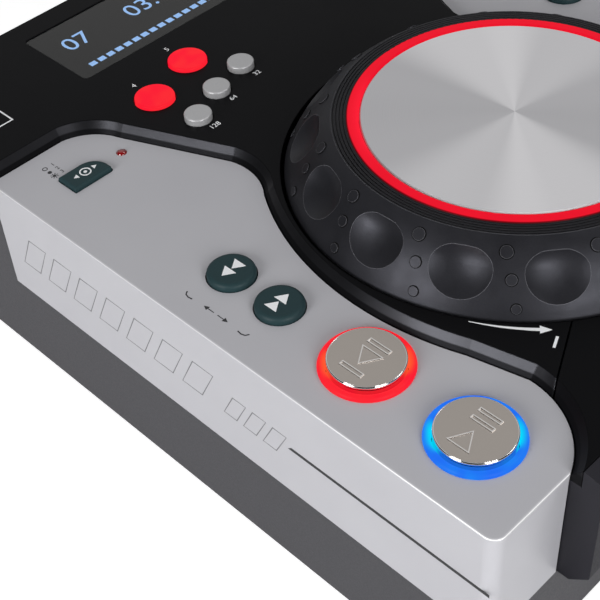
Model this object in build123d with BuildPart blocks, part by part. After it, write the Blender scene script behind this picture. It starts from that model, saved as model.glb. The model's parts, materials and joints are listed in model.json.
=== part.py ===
from build123d import *
from math import acos, asin, atan2, cos, degrees, pi, radians, sin, sqrt, tan
import os

os.makedirs("parts", exist_ok=True)

# Tabletop disc player for a DJ booth. Millimetres, +Z up, +Y towards the rear, +X to the right.
# The origin is on the table, under the middle of the whole player.

# ---------------------------------------------------------------- driving dimensions
# Case
body_width = 230.0
front_y = -135.0
back_y = 137.0
foot_height = 5.3
floor_thickness = 1.5
skirt_bottom_z = 41.1
panel_top_z = 84.0
panel_wall = 2.5
case_wall = 2.5
case_corner = 4.0
seat_gap = 0.2
running_gap = 0.35
bore_clearance = 0.05

# Top plate
fascia_rise = 3.6
chamfer_run = 2.8
fascia_plate = 2.6
fascia_skirt = 1.8
panel_gap = 0.5
nose_lead = 3.3
nose_side_gap = 0.4
seam_gap = 0.5
seam_slope = 26.2
seam_side_y = -117.8
seam_from_side = 44.6

# Silver panels, measured from the front outer corner of each
panel_length = 205.7
lobe_start = 29.0
lobe_x = 47.3
lobe_y = 26.5
waist_x = 37.2
waist_y = 78.3
shoulder_x = 59.2
shoulder_y = 145.5
panel_back_width = 29.2

# Jog wheel
jog_y = -49.0
jog_radius = 71.3
jog_hole_gap = 1.2
jog_top_z = 105.2
flank_run = 15.3
flank_radius = 46.3
flank_tilt = 35.5
jog_wall = 3.4
land_width = 4.7
light_width = 3.9
groove_pitch = 1.05
groove_from_edge = 0.6
groove_width = 0.45
groove_depth = 0.4
hub_drop = 3.7
scoop_count = 15
scoop_phase = 13.0
scoop_skew = 3.0
scoop_from_edge = 11.5
scoop_depth = 2.55
scoop_axis = 19.0
scoop_uphill = 7.5
scoop_downhill = 8.63
pip_rise = 0.4
hub_plate = 3.0
shaft_radius = 4.0
boss_radius = 10.0
encoder_radius = 30.0
encoder_wall = 1.2
encoder_slots = 48
tray_floor = 2.0
tray_bottom_z = 62.0
tray_wall = 1.6
bush_wall = 3.0

# Buttons of the silver panels, measured from the front outer corner
button_column = 22.6
play_y = 24.8
cue_y = 62.5
search_forward_y = 96.1
search_back_y = 116.2
cap_radius = 11.15
cap_rise = 3.2
cap_bevel = 1.2
cap_bevel_run = 0.4
ring_radius = 13.7
ring_rise = 1.5
ring_flange = 1.4
search_radius = 7.45
search_rise = 2.3
mode_x = 23.25
mode_from_back = 20.3
mode_length = 15.1
mode_width = 9.0
mode_corner = 6.5
mode_rise = 1.6
led_x = 38.5
led_from_back = 19.8
led_radius = 1.8
key_travel = 1.0

# Buttons of the top plate, on two arcs round the jog wheel
beat_arc = 103.7
beat_angle = 119.0
beat_pitch = 8.8
beat_radius = 4.7
beat_rise = 2.3
loop_arc = 122.1
loop_angle = 115.5
loop_pitch = 11.0
loop_radius = 6.9
loop_rise = 1.2
eject_x = 52.3
eject_y = 61.2
eject_radius = 5.6

# Display, knob and socket
display_y = 106.0
display_width = 122.0
display_depth = 36.0
window_thickness = 2.2
knob_from_side = 27.0
knob_radius = 11.0
knob_height = 13.0
knob_shaft = 3.0
usb_from_side = 15.2
usb_length = 14.0
usb_width = 6.6
usb_wall = 0.6

# Pitch fader
fader_y = 62.0
fader_travel = 40.0
fader_slot = 3.0
fader_body_width = 13.0
fader_cap_length = 22.0
fader_cap_width = 12.0
fader_cap_height = 9.0
fader_cap_round = 1.2
fader_dish_radius = 5.0
fader_dish_lift = 3.4
fader_stem = 2.2
lock_y = 134.0

# Disc drive
disc_radius = 60.0
disc_z = 52.0
slot_side_room = 2.0
slot_height = 5.0
bezel_front_y = -145.0
bezel_top_drop = 1.4
bezel_edge = 1.5
drive_floor_z = 30.0
drive_sheet = 1.5
drive_half_width = 72.0
drive_front_y = -127.0
drive_back_y = 26.0
drive_top_z = 60.0
roller_y = -119.5
roller_radius = 5.0
roller_shaft = 2.0
motor_radius = 12.0
turntable_radius = 13.0
cone_radius = 7.4
spindle_radius = 1.0
disc_thickness = 1.2
clamp_radius = 12.0
clamp_drop = 1.6
gear_module = 0.8
roller_teeth = 20
idler_teeth = 28
pinion_teeth = 10
sled_teeth = 12
gear_width = 3.0
backlash = 0.12
sled_travel = 34.0
sled_start_y = -24.0
rod_radius = 1.5
rod_x = 22.0

# Boards
board = 1.6
panel_board_z = 70.0
switch_size = 6.2
switch_height = 3.4
main_board_z = 12.0
main_board_front = -119.0
main_board_back = 41.0
power_board_front = 54.0
board_side_gap = 14.8
rear_sheet = 1.2
jack_radius = 4.15
jack_length = 8.0
jack_pitch = 16.0
jack_z = 46.0
screw_radius = 1.5

# ---------------------------------------------------------------- worked out from them
half_width = body_width / 2
case_bottom_z = foot_height + floor_thickness
panel_under_z = panel_top_z - panel_wall
fascia_top_z = panel_top_z + fascia_rise
fascia_under_z = fascia_top_z - fascia_plate
nose_front_y = front_y - nose_lead
panel_back_y = front_y + panel_length
column_x = -half_width + button_column
nose_half_width = half_width - lobe_start - nose_side_gap
seam_side_x = half_width - seam_from_side
knob_x = half_width - knob_from_side
usb_x = -half_width + usb_from_side
jog_hole_radius = jog_radius + jog_hole_gap
shoulder_radius = jog_radius - flank_run
light_outer = shoulder_radius - land_width
light_inner = light_outer - light_width
mode_place = (-half_width + mode_x, panel_back_y - mode_from_back)
led_place = (-half_width + led_x, panel_back_y - led_from_back)
hub_top_z = jog_top_z - hub_drop
hub_bottom_z = hub_top_z - hub_plate
board_top_z = panel_board_z + board
switch_top_z = board_top_z + switch_height
stem_z = switch_top_z + key_travel + 0.1
slot_width = 2 * (disc_radius + slot_side_room)
bush_radius = shaft_radius + bush_wall
bush_top_z = tray_bottom_z + 14.0


def write(builder, name):
    """Label a finished piece and write it."""
    builder.part.label = name
    export_step(builder.part, f"parts/{name}.step")


def on_arc(radius, angle):
    """A place at this radius and angle round the jog wheel's axis."""
    return (radius * cos(radians(angle)), jog_y + radius * sin(radians(angle)))


def panel_outline(side, grow=0.0):
    """A silver panel seen from above, with its wave-shaped inner edge, grown by a margin."""

    def at(across, along):
        return (side * (half_width - across), front_y + along)

    neck = at(lobe_x - 4.2, lobe_y + 18.0)
    shoulder_low = at(shoulder_x - 5.1, shoulder_y - 10.5)
    shoulder_high = at(shoulder_x - 0.4, shoulder_y + 9.5)
    hip = at(panel_back_width + 13.9, panel_length - 13.2)
    hip_middle = at(panel_back_width + 9.6, panel_length - 5.4)
    back_corner = at(panel_back_width, panel_length)
    with BuildSketch(Plane.XY) as outline:
        with BuildLine():
            Line(at(0, panel_length), at(0, 0))
            Line(at(0, 0), at(lobe_start, 0))
            ThreePointArc(at(lobe_start, 0), at(lobe_x - 6.2, 8.9), at(lobe_x, lobe_y))
            Line(at(lobe_x, lobe_y), neck)
            ThreePointArc(neck, at(waist_x, waist_y), shoulder_low)
            ThreePointArc(shoulder_low, at(shoulder_x, shoulder_y), shoulder_high)
            Line(shoulder_high, hip)
            ThreePointArc(hip, hip_middle, back_corner)
            Line(back_corner, at(0, panel_length))
        make_face()
        if grow:
            offset(amount=grow, kind=Kind.ARC)
    return outline.sketch


def seam_mask(shift):
    """Everything in front of the two slanting seams, moved back by shift."""
    reach = half_width + 20
    rise = tan(radians(seam_slope))
    side_y = seam_side_y - (reach - seam_side_x) * rise + shift
    middle_y = seam_side_y + seam_side_x * rise + shift
    with BuildSketch(Plane.XY) as mask:
        with BuildLine():
            Polyline(
                (-reach, side_y),
                (0, middle_y),
                (reach, side_y),
                (reach, front_y - 40),
                (-reach, front_y - 40),
                close=True,
            )
        make_face()
    return mask.sketch


def top_outline():
    """The whole black top: everything between and behind the silver panels."""
    with BuildSketch(Plane.XY) as outline:
        with Locations((0, (front_y + back_y) / 2)):
            RectangleRounded(body_width, back_y - front_y, case_corner)
        for cutter in bevel_cutters:
            add(cutter, mode=Mode.SUBTRACT)
        with Locations((0, front_y - nose_lead / 2)):
            Rectangle(2 * nose_half_width, nose_lead)
    return outline.sketch


def mode_outline(grow=0.0):
    """The jog mode button seen from above, with its one large round corner, grown by a margin."""
    with BuildSketch(Plane.XY) as outline:
        with Locations(mode_place):
            Rectangle(mode_length, mode_width)
        fillet(outline.vertices().sort_by(lambda v: v.X + v.Y)[-1], mode_corner)
        fillet(outline.vertices().sort_by(lambda v: v.X - v.Y)[-1], 1.0)
        if grow:
            offset(amount=grow, kind=Kind.ARC)
    return outline.sketch


left_panel = panel_outline(-1)
right_panel = panel_outline(1)
bevel_cutters = [panel_outline(side, panel_gap) for side in (-1, 1)]
top_plan = top_outline()
nose_plan = seam_mask(-seam_gap / 2)
fascia_cut = seam_mask(seam_gap / 2)


def raised_plate():
    """The top plate before it is divided: bevelled rim, thin plate, skirt, jog hole."""
    bevel = degrees(atan2(chamfer_run, fascia_rise))
    with BuildPart() as plate:
        with BuildSketch(Plane.XY.offset(panel_under_z)):
            add(top_plan)
        extrude(amount=fascia_top_z - panel_under_z)
        rim = plate.edges().filter_by_position(Axis.Z, fascia_top_z - 0.01, fascia_top_z + 0.01)
        outer = [e for e in rim if e.center().Y > panel_back_y + 2 and is_outer(e.center())]
        chamfer(outer, chamfer_run)
        for cutter in bevel_cutters:
            with BuildSketch(Plane.XY.offset(panel_top_z)):
                add(cutter)
            extrude(amount=fascia_rise + 0.01, taper=-bevel, mode=Mode.SUBTRACT)
        with BuildSketch(Plane.XY.offset(panel_under_z)):
            offset(top_plan, amount=-fascia_skirt, kind=Kind.INTERSECTION, mode=Mode.ADD)
        extrude(amount=fascia_under_z - panel_under_z, mode=Mode.SUBTRACT)
        with BuildSketch(Plane.XY.offset(panel_under_z)):
            with Locations((0, jog_y)):
                Circle(jog_hole_radius)
        extrude(amount=fascia_top_z, mode=Mode.SUBTRACT)
    return plate.part


def is_outer(point):
    """True on the sides and back of the case."""
    return abs(point.X) > half_width - case_corner or point.Y > back_y - case_corner


plate = raised_plate()
beat_places = [on_arc(beat_arc, beat_angle - beat_pitch * k) for k in range(3)]
loop_places = [on_arc(loop_arc, loop_angle - loop_pitch * k) for k in range(2)]

# ---------------------------------------------------------------- top plate
with BuildPart() as fascia:
    add(plate)
    with BuildSketch(Plane.XY.offset(panel_under_z - 1)):
        add(fascia_cut)
    extrude(amount=fascia_rise + 10, mode=Mode.SUBTRACT)
    with BuildSketch(Plane.XY.offset(fascia_under_z - 1)):
        with Locations(*beat_places):
            Circle(beat_radius + running_gap)
        with Locations(*loop_places):
            Circle(loop_radius + running_gap)
        with Locations((eject_x, eject_y)):
            Circle(eject_radius + running_gap)
        with Locations((0, display_y)):
            RectangleRounded(display_width, display_depth, 2.0)
        with Locations((knob_x, display_y)):
            Circle(knob_shaft + running_gap)
        with Locations((usb_x, display_y)):
            Rectangle(usb_width + seat_gap, usb_length + seat_gap)
    extrude(amount=fascia_plate + 5, mode=Mode.SUBTRACT)
write(fascia, "fascia")

with BuildPart() as nose_cover:
    add(plate)
    with BuildSketch(Plane.XY.offset(panel_under_z - 1)):
        add(nose_plan)
    extrude(amount=fascia_rise + 10, mode=Mode.INTERSECT)
write(nose_cover, "nose_cover")


# ---------------------------------------------------------------- silver panels
def side_panel(side, outline):
    """A silver panel with its side skirt and front return, and the holes for its buttons."""
    outer_x = side * half_width
    column = side * (half_width - button_column)
    with BuildPart() as panel:
        with BuildSketch(Plane.XY.offset(panel_under_z)):
            add(outline)
        extrude(amount=panel_wall)
        with BuildSketch(Plane.XY.offset(skirt_bottom_z)):
            with Locations((outer_x - side * panel_wall / 2, front_y + panel_length / 2)):
                Rectangle(panel_wall, panel_length)
            with Locations((outer_x - side * lobe_start / 2, front_y + panel_wall / 2)):
                Rectangle(lobe_start, panel_wall)
        extrude(amount=panel_under_z - skirt_bottom_z)
        corner = panel.edges().filter_by(Axis.Z).sort_by(lambda e: e.center().Y - side * e.center().X)[0]
        fillet(corner, case_corner)
        rim = panel.edges().filter_by_position(Axis.Z, panel_top_z - 0.01, panel_top_z + 0.01)
        outer_rim = [e for e in rim if abs(e.center().X) > half_width - 1.9 or e.center().Y < front_y + 1.9]
        fillet(outer_rim, 0.8)
        with BuildSketch(Plane.XY.offset(panel_under_z - 1)):
            if side < 0:
                with Locations((column, front_y + cue_y), (column, front_y + play_y)):
                    Circle(ring_radius)
                with Locations((column, front_y + search_back_y), (column, front_y + search_forward_y)):
                    Circle(search_radius + running_gap)
                add(mode_outline(running_gap))
                with Locations(led_place):
                    Circle(led_radius + bore_clearance)
            else:
                with Locations((column, front_y + fader_y)):
                    SlotOverall(2 * fader_travel + fader_stem + 4, fader_slot, rotation=90)
                with Locations((column, front_y + lock_y)):
                    Circle(search_radius + running_gap)
        extrude(amount=panel_wall + 5, mode=Mode.SUBTRACT)
    return panel


side_panel_left = side_panel(-1, left_panel)
write(side_panel_left, "side_panel_left")
side_panel_right = side_panel(1, right_panel)
write(side_panel_right, "side_panel_right")

# ---------------------------------------------------------------- lower case
inset = panel_wall + seat_gap
inner_half = half_width - inset - case_wall
post_x = half_width - case_wall - 3.6
post_places = [(s * post_x, y) for s in (-1, 1) for y in (front_y + 9, 0.0, back_y - 9)]
post_radius = 4.0
ledge_width = 4.0
ledge_front = front_y + 7.0
ledge_back = panel_back_y - 6.0
rear_opening_z = (18.0, 68.0)
rear_half = 98.0
rear_panel_half = rear_half + 6.0
with BuildPart() as lower_case:
    with BuildSketch(Plane.XY.offset(case_bottom_z)):
        with Locations((0, (front_y + back_y) / 2)):
            RectangleRounded(body_width, back_y - front_y, case_corner)
    extrude(amount=panel_under_z - case_bottom_z)
    with BuildSketch(Plane.XY.offset(skirt_bottom_z)):
        with Locations((0, (front_y + panel_back_y + seat_gap) / 2 - 5)):
            Rectangle(body_width + 10, panel_length + seat_gap + 10)
        with Locations((0, (front_y + inset + panel_back_y + seat_gap) / 2)):
            Rectangle(body_width - 2 * inset, panel_length + seat_gap - inset, mode=Mode.SUBTRACT)
    extrude(amount=panel_top_z, mode=Mode.SUBTRACT)
    with BuildSketch(Plane.XY.offset(case_bottom_z)):
        with Locations((0, (front_y + back_y) / 2)):
            Rectangle(body_width - 2 * case_wall, back_y - front_y - 2 * case_wall - 1.0)
    extrude(amount=skirt_bottom_z - case_wall - case_bottom_z, mode=Mode.SUBTRACT)
    with BuildSketch(Plane.XY.offset(case_bottom_z)):
        with Locations((0, (front_y + inset + back_y) / 2)):
            Rectangle(2 * inner_half, back_y - front_y - inset - 2 * case_wall - 1.0)
    extrude(amount=panel_top_z, mode=Mode.SUBTRACT)
    with BuildSketch(Plane.XZ.offset(-front_y - 8)):
        with Locations((0, (skirt_bottom_z + 3 + panel_under_z - 3) / 2)):
            Rectangle(2 * (nose_half_width - 5), panel_under_z - skirt_bottom_z - 6)
    extrude(amount=20, mode=Mode.SUBTRACT)
    with BuildSketch(Plane.XZ.offset(-back_y - 1)):
        with Locations((0, sum(rear_opening_z) / 2)):
            Rectangle(2 * rear_half, rear_opening_z[1] - rear_opening_z[0])
    extrude(amount=12, mode=Mode.SUBTRACT)
    with BuildSketch(Plane.XZ.offset(-back_y + rear_sheet)):
        with Locations((0, sum(rear_opening_z) / 2)):
            Rectangle(2 * rear_panel_half, rear_opening_z[1] - rear_opening_z[0] + 12)
    extrude(amount=-rear_sheet - 1, mode=Mode.SUBTRACT)
    with BuildSketch(Plane.XY.offset(case_bottom_z)):
        with Locations(*post_places):
            Circle(post_radius)
    extrude(amount=14)
    with BuildSketch(Plane.XY.offset(panel_board_z - 2)):
        for side in (-1, 1):
            with Locations((side * (inner_half - ledge_width / 2), (ledge_front + ledge_back) / 2)):
                Rectangle(ledge_width, ledge_back - ledge_front)
    extrude(amount=2)
    with BuildSketch(Plane.XY.offset(case_bottom_z)):
        with Locations(*post_places):
            Circle(screw_radius)
    extrude(amount=10, mode=Mode.SUBTRACT)
write(lower_case, "lower_case")

# ---------------------------------------------------------------- base plate, feet, screws
foot_places = [(s * (half_width - 24), y) for s in (-1, 1) for y in (front_y + 26, back_y - 26)]
boss_places = [(s * 58.0, y) for s in (-1, 1) for y in (drive_front_y + 22, drive_back_y - 16)]
boss_height = 16.0
standoff_places = [(s * 84.0, y) for s in (-1, 1) for y in (-112.0, 34.0)]
power_standoffs = [(s * 84.0, y) for s in (-1, 1) for y in (62.0, 122.0)]
with BuildPart() as base_plate:
    with BuildSketch(Plane.XY.offset(foot_height)):
        with Locations((0, (front_y + back_y) / 2)):
            RectangleRounded(body_width - 1, back_y - front_y - 1, case_corner)
        with Locations(*post_places):
            Circle(screw_radius + 0.2, mode=Mode.SUBTRACT)
        with Locations((0, 92.0), (0, -8.0)):
            with GridLocations(9.0, 26.0, 13, 2):
                SlotOverall(20.0, 2.6, rotation=90, mode=Mode.SUBTRACT)
    extrude(amount=floor_thickness)
    with BuildSketch(Plane.XY.offset(case_bottom_z)):
        with Locations(*boss_places):
            Circle(6.5)
    extrude(amount=boss_height)
    with BuildSketch(Plane.XY.offset(case_bottom_z)):
        with Locations(*standoff_places, *power_standoffs):
            Circle(3.0)
    extrude(amount=main_board_z - case_bottom_z)
write(base_plate, "base_plate")

with BuildPart() as feet:
    with BuildSketch(Plane.XY.offset(foot_height)):
        with Locations(*foot_places):
            Circle(12.0)
    extrude(amount=-foot_height, taper=9)
    chamfer(feet.faces().filter_by(Axis.Z).group_by(Axis.Z)[0].edges(), 0.7)
write(feet, "feet")

screw_head = 1.3
rear_screws = [(s * (rear_half + 3), z) for s in (-1, 1) for z in (21.0, 65.0)]
with BuildPart() as case_screws:
    with BuildSketch(Plane.XY.offset(foot_height - screw_head)):
        with Locations(*post_places):
            Circle(2 * screw_radius)
    extrude(amount=screw_head)
    with BuildSketch(Plane.XY.offset(foot_height)):
        with Locations(*post_places):
            Circle(screw_radius)
    extrude(amount=floor_thickness + 8)
    with BuildSketch(Plane.XZ.offset(-back_y - screw_head)):
        with Locations(*rear_screws):
            Circle(2 * screw_radius)
    extrude(amount=screw_head)
    with BuildSketch(Plane.XZ.offset(-back_y)):
        with Locations(*rear_screws):
            Circle(screw_radius - bore_clearance)
    extrude(amount=rear_sheet)
write(case_screws, "case_screws")

# ---------------------------------------------------------------- nose bezel with the disc slot
with BuildPart() as slot_bezel:
    with BuildSketch(Plane.YZ):
        with BuildLine():
            lip_y = nose_front_y - seat_gap
            rear_y = front_y + inset - seat_gap
            Polyline(
                (lip_y, fascia_top_z),
                (bezel_front_y, fascia_top_z - bezel_top_drop),
                (bezel_front_y, skirt_bottom_z + 6),
                (front_y - 4, skirt_bottom_z + seat_gap),
                (rear_y, skirt_bottom_z + seat_gap),
                (rear_y, panel_under_z - seat_gap),
                (lip_y, panel_under_z - seat_gap),
                close=True,
            )
        make_face()
    extrude(amount=nose_half_width, both=True)
    front_edges = slot_bezel.edges().filter_by(Axis.X).group_by(Axis.Y)[0]
    fillet(front_edges, bezel_edge)
    with BuildSketch(Plane.XZ.offset(-bezel_front_y + 1)):
        with Locations((0, disc_z)):
            Rectangle(slot_width, slot_height)
    extrude(amount=-20, mode=Mode.SUBTRACT)
    mouth = slot_bezel.edges().filter_by_position(Axis.Y, bezel_front_y - 0.01, bezel_front_y + 0.01)
    mouth = mouth.filter_by_position(Axis.Z, disc_z - slot_height / 2 - 0.1, disc_z + slot_height / 2 + 0.1)
    chamfer(mouth, 1.6)
    with BuildSketch(Plane.XZ.offset(-rear_y - 1)):
        with Locations((0, (disc_z + slot_height / 2 + 4 + panel_under_z - 4) / 2)):
            Rectangle(2 * nose_half_width - 8, panel_under_z - disc_z - slot_height / 2 - 8)
    extrude(amount=8, mode=Mode.SUBTRACT)
write(slot_bezel, "slot_bezel")

# ---------------------------------------------------------------- jog wheel
flank_centre = (
    shoulder_radius - flank_radius * sin(radians(flank_tilt)),
    jog_top_z - flank_radius * cos(radians(flank_tilt)),
)
rim_bottom_z = panel_under_z + 3.0
inner_radius = jog_radius - jog_wall
inner_flank = flank_radius - jog_wall


def flank_at(radius, arc):
    """The point at this distance from the wheel's axis, on an arc about the flank's centre."""
    return (radius, flank_centre[1] + sqrt(arc**2 - (radius - flank_centre[0]) ** 2))


def flank_plane(radius):
    """The plane square to the wheel's axis plane at this radius: x down the flank, y out of it."""
    tilt = asin((radius - flank_centre[0]) / flank_radius)
    x, z = flank_at(radius, flank_radius)
    return Plane(origin=(x, 0, z), x_dir=(cos(tilt), 0, -sin(tilt)), z_dir=(0, -1, 0))


def pip(radius, pip_radius):
    """A low round stud, square to the flank."""
    flank = flank_plane(radius)
    seat = Plane(origin=flank.origin, x_dir=flank.x_dir, z_dir=flank.y_dir)
    with BuildPart() as stud:
        with BuildSketch(seat.offset(-0.8)):
            Circle(pip_radius)
        extrude(amount=0.8 + pip_rise)
    return stud.part


# Rows of three pips lean with the scoops: step in from the rim, radius, angle from the scoop.
pip_row = [(11.5, 1.85, 11.1), (6.25, 1.6, 12.7), (1.75, 1.4, 14.1)]
scoop_tilt = radians(flank_tilt) + scoop_from_edge / flank_radius
scoop_plane = flank_plane(flank_centre[0] + flank_radius * sin(scoop_tilt)).rotated((0, scoop_skew, 0))
scoop_low = (-1.8, -scoop_depth)
scoop_lip = (-scoop_uphill + 0.6, -scoop_depth / 2)
with BuildPart() as scoop_tool:
    with BuildSketch(scoop_plane):
        with BuildLine():
            TangentArc(scoop_low, (scoop_downhill, 0), tangent=(1, 0))
            TangentArc(scoop_low, scoop_lip, tangent=(-1, 0))
            Polyline(
                scoop_lip,
                (-scoop_uphill, 0),
                (-scoop_uphill, scoop_axis),
                (scoop_downhill, scoop_axis),
                (scoop_downhill, 0),
            )
        make_face()
    revolve(axis=Axis(scoop_plane.origin + scoop_plane.y_dir * scoop_axis, scoop_plane.x_dir))

flank_middle = (shoulder_radius + jog_radius) / 2
inner_top = (flank_centre[0] + sqrt(inner_flank**2 - (hub_top_z - flank_centre[1]) ** 2), hub_top_z)
with BuildPart() as jog_ring:
    with BuildSketch(Plane.XZ.offset(-jog_y)):
        with BuildLine():
            ThreePointArc(
                (shoulder_radius, jog_top_z),
                flank_at(flank_middle, flank_radius),
                flank_at(jog_radius, flank_radius),
            )
            Polyline(
                flank_at(jog_radius, flank_radius),
                (jog_radius, rim_bottom_z),
                (inner_radius, rim_bottom_z),
                flank_at(inner_radius, inner_flank),
            )
            ThreePointArc(
                flank_at(inner_radius, inner_flank),
                flank_at(flank_middle, inner_flank),
                inner_top,
            )
            Polyline(
                inner_top,
                (light_outer, hub_top_z),
                (light_outer, jog_top_z),
                (shoulder_radius, jog_top_z),
            )
        make_face()
        with Locations((shoulder_radius - groove_from_edge - 1.5 * groove_pitch, jog_top_z)):
            with GridLocations(groove_pitch, 1, 4, 1):
                Rectangle(groove_width, 2 * groove_depth, mode=Mode.SUBTRACT)
    revolve(axis=Axis((0, jog_y, 0), (0, 0, 1)))
    with Locations((0, jog_y)):
        with PolarLocations(0, scoop_count, start_angle=scoop_phase):
            add(scoop_tool.part, mode=Mode.SUBTRACT)
        for step, pip_radius, lean in pip_row:
            with PolarLocations(0, scoop_count, start_angle=scoop_phase + lean):
                add(pip(jog_radius - step, pip_radius))
write(jog_ring, "jog_ring")

with BuildPart() as platter_light:
    with BuildSketch(Plane.XY.offset(hub_top_z)):
        with Locations((0, jog_y)):
            Circle(light_outer)
            Circle(light_inner, mode=Mode.SUBTRACT)
    extrude(amount=jog_top_z + 0.3 - hub_top_z)
    fillet(platter_light.edges().group_by(Axis.Z)[-1], 0.6)
write(platter_light, "platter_light")

disc_rim = light_inner - 0.15
disc_sheet = 1.5
with BuildPart() as platter_disc:
    with BuildSketch(Plane.XY.offset(hub_top_z)):
        with Locations((0, jog_y)):
            Circle(disc_rim)
    extrude(amount=jog_top_z + 0.2 - hub_top_z)
    chamfer(platter_disc.edges().group_by(Axis.Z)[-1], 0.5)
    with BuildSketch(Plane.XY.offset(hub_top_z)):
        with Locations((0, jog_y)):
            Circle(disc_rim - disc_sheet)
    extrude(amount=jog_top_z - disc_sheet - hub_top_z, mode=Mode.SUBTRACT)
write(platter_disc, "platter_disc")

hub_foot_z = bush_top_z + 0.1
encoder_bottom_z = tray_bottom_z + 12.0
with BuildPart() as jog_hub:
    with BuildSketch(Plane.XY.offset(hub_bottom_z)):
        with Locations((0, jog_y)):
            Circle(shoulder_radius - 1.0)
            with PolarLocations(38.0, 6):
                Circle(8.0, mode=Mode.SUBTRACT)
    extrude(amount=hub_plate)
    with BuildSketch(Plane.XY.offset(hub_foot_z)):
        with Locations((0, jog_y)):
            Circle(boss_radius)
    extrude(amount=hub_bottom_z - hub_foot_z)
    with BuildSketch(Plane.XY.offset(encoder_bottom_z)):
        with Locations((0, jog_y)):
            Circle(encoder_radius)
            Circle(encoder_radius - encoder_wall, mode=Mode.SUBTRACT)
    extrude(amount=hub_bottom_z - encoder_bottom_z)
    with BuildSketch(Plane.XY.offset(encoder_bottom_z - 1)):
        with Locations((0, jog_y)):
            with PolarLocations(encoder_radius - encoder_wall / 2, encoder_slots):
                Rectangle(3 * encoder_wall, 1.8)
    extrude(amount=6, mode=Mode.SUBTRACT)
    with BuildSketch(Plane.XY.offset(hub_foot_z - 1)):
        with Locations((0, jog_y)):
            Circle(shaft_radius)
    extrude(amount=hub_top_z - 1 - hub_foot_z, mode=Mode.SUBTRACT)
write(jog_hub, "jog_hub")

with BuildPart() as jog_shaft:
    with BuildSketch(Plane.XY.offset(tray_bottom_z - 0.5)):
        with Locations((0, jog_y)):
            Circle(shaft_radius)
    extrude(amount=hub_top_z - 2 - tray_bottom_z + 0.5)
    chamfer(jog_shaft.edges().group_by(Axis.Z)[0], 0.5)
write(jog_shaft, "jog_shaft")

with BuildPart() as jog_bearing:
    with BuildSketch(Plane.XY.offset(tray_bottom_z)):
        with Locations((0, jog_y)):
            Circle(bush_radius)
    extrude(amount=bush_top_z - tray_bottom_z)
    with BuildSketch(Plane.XY.offset(bush_top_z - 1.5)):
        with Locations((0, jog_y)):
            Circle(bush_radius + 2)
    extrude(amount=1.5)
    with BuildSketch(Plane.XY.offset(tray_bottom_z - 1)):
        with Locations((0, jog_y)):
            Circle(shaft_radius + bore_clearance)
    extrude(amount=20, mode=Mode.SUBTRACT)
write(jog_bearing, "jog_bearing")

tray_outer = jog_hole_radius + 0.3 + tray_wall
with BuildPart() as jog_base:
    with BuildSketch(Plane.XY.offset(tray_bottom_z)):
        with Locations((0, jog_y)):
            Circle(tray_outer)
    extrude(amount=fascia_under_z - tray_bottom_z)
    with BuildSketch(Plane.XY.offset(tray_bottom_z + tray_floor)):
        with Locations((0, jog_y)):
            Circle(tray_outer - tray_wall)
    extrude(amount=fascia_top_z, mode=Mode.SUBTRACT)
    with BuildSketch(Plane.XY.offset(tray_bottom_z)):
        with Locations((0, jog_y)):
            Circle(bush_radius + 3)
    extrude(amount=bush_top_z - 1.5 - tray_bottom_z)
    with BuildSketch(Plane.XY.offset(tray_bottom_z)):
        with Locations((0, jog_y)):
            with PolarLocations((tray_outer + bush_radius) / 2, 6, start_angle=30):
                Rectangle(tray_outer - bush_radius - 5, 2.0)
    extrude(amount=7)
    with BuildSketch(Plane.XY.offset(tray_bottom_z + tray_floor)):
        with Locations((0, jog_y + encoder_radius - encoder_wall / 2)):
            Rectangle(9.0, 10.0)
    extrude(amount=16)
    with BuildSketch(Plane.XY.offset(encoder_bottom_z - 1.5)):
        with Locations((0, jog_y + encoder_radius - encoder_wall / 2)):
            Rectangle(10.0, 3 * encoder_wall)
    extrude(amount=20, mode=Mode.SUBTRACT)
    with BuildSketch(Plane.XY.offset(tray_bottom_z - 1)):
        with Locations((0, jog_y)):
            Circle(bush_radius)
    extrude(amount=30, mode=Mode.SUBTRACT)
write(jog_base, "jog_base")

# ---------------------------------------------------------------- transport buttons
flange_radius = ring_radius + 1.6


def light_ring(name, y):
    """A domed light ring, held from below by its flange."""
    with BuildPart() as ring:
        with BuildSketch(Plane.XZ.offset(-y)):
            inner = cap_radius + running_gap
            with BuildLine():
                Polyline(
                    (inner, panel_top_z + ring_rise - 0.6),
                    (inner, panel_under_z - ring_flange),
                    (flange_radius, panel_under_z - ring_flange),
                    (flange_radius, panel_under_z),
                    (ring_radius, panel_under_z),
                    (ring_radius, panel_top_z + 0.2),
                )
                ThreePointArc(
                    (ring_radius, panel_top_z + 0.2),
                    (ring_radius - 0.45, panel_top_z + ring_rise - 0.4),
                    (inner + 0.9, panel_top_z + ring_rise),
                )
                Line((inner + 0.9, panel_top_z + ring_rise), (inner, panel_top_z + ring_rise - 0.6))
            make_face()
        revolve(axis=Axis((0, y, 0), (0, 0, 1)))
    ring.part.position = (column_x, 0, 0)
    write(ring, name)


def metal_cap(name, y):
    """A turned metal button with a bevelled edge and a stem."""
    with BuildPart() as cap:
        cap_top = panel_top_z + cap_rise
        with BuildSketch(Plane.XZ.offset(-y)):
            with BuildLine():
                Polyline(
                    (column_x, panel_under_z),
                    (column_x + cap_radius, panel_under_z),
                    (column_x + cap_radius, cap_top - cap_bevel),
                    (column_x + cap_radius - cap_bevel_run, cap_top),
                    (column_x, cap_top),
                    close=True,
                )
            make_face()
        revolve(axis=Axis((column_x, y, 0), (0, 0, 1)))
        with BuildSketch(Plane.XY.offset(stem_z)):
            with Locations((column_x, y)):
                Circle(3.0)
        extrude(amount=panel_under_z - stem_z)
    write(cap, name)


light_ring("cue_light_ring", front_y + cue_y)
light_ring("play_light_ring", front_y + play_y)
metal_cap("cue_button", front_y + cue_y)
metal_cap("play_button", front_y + play_y)


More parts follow.
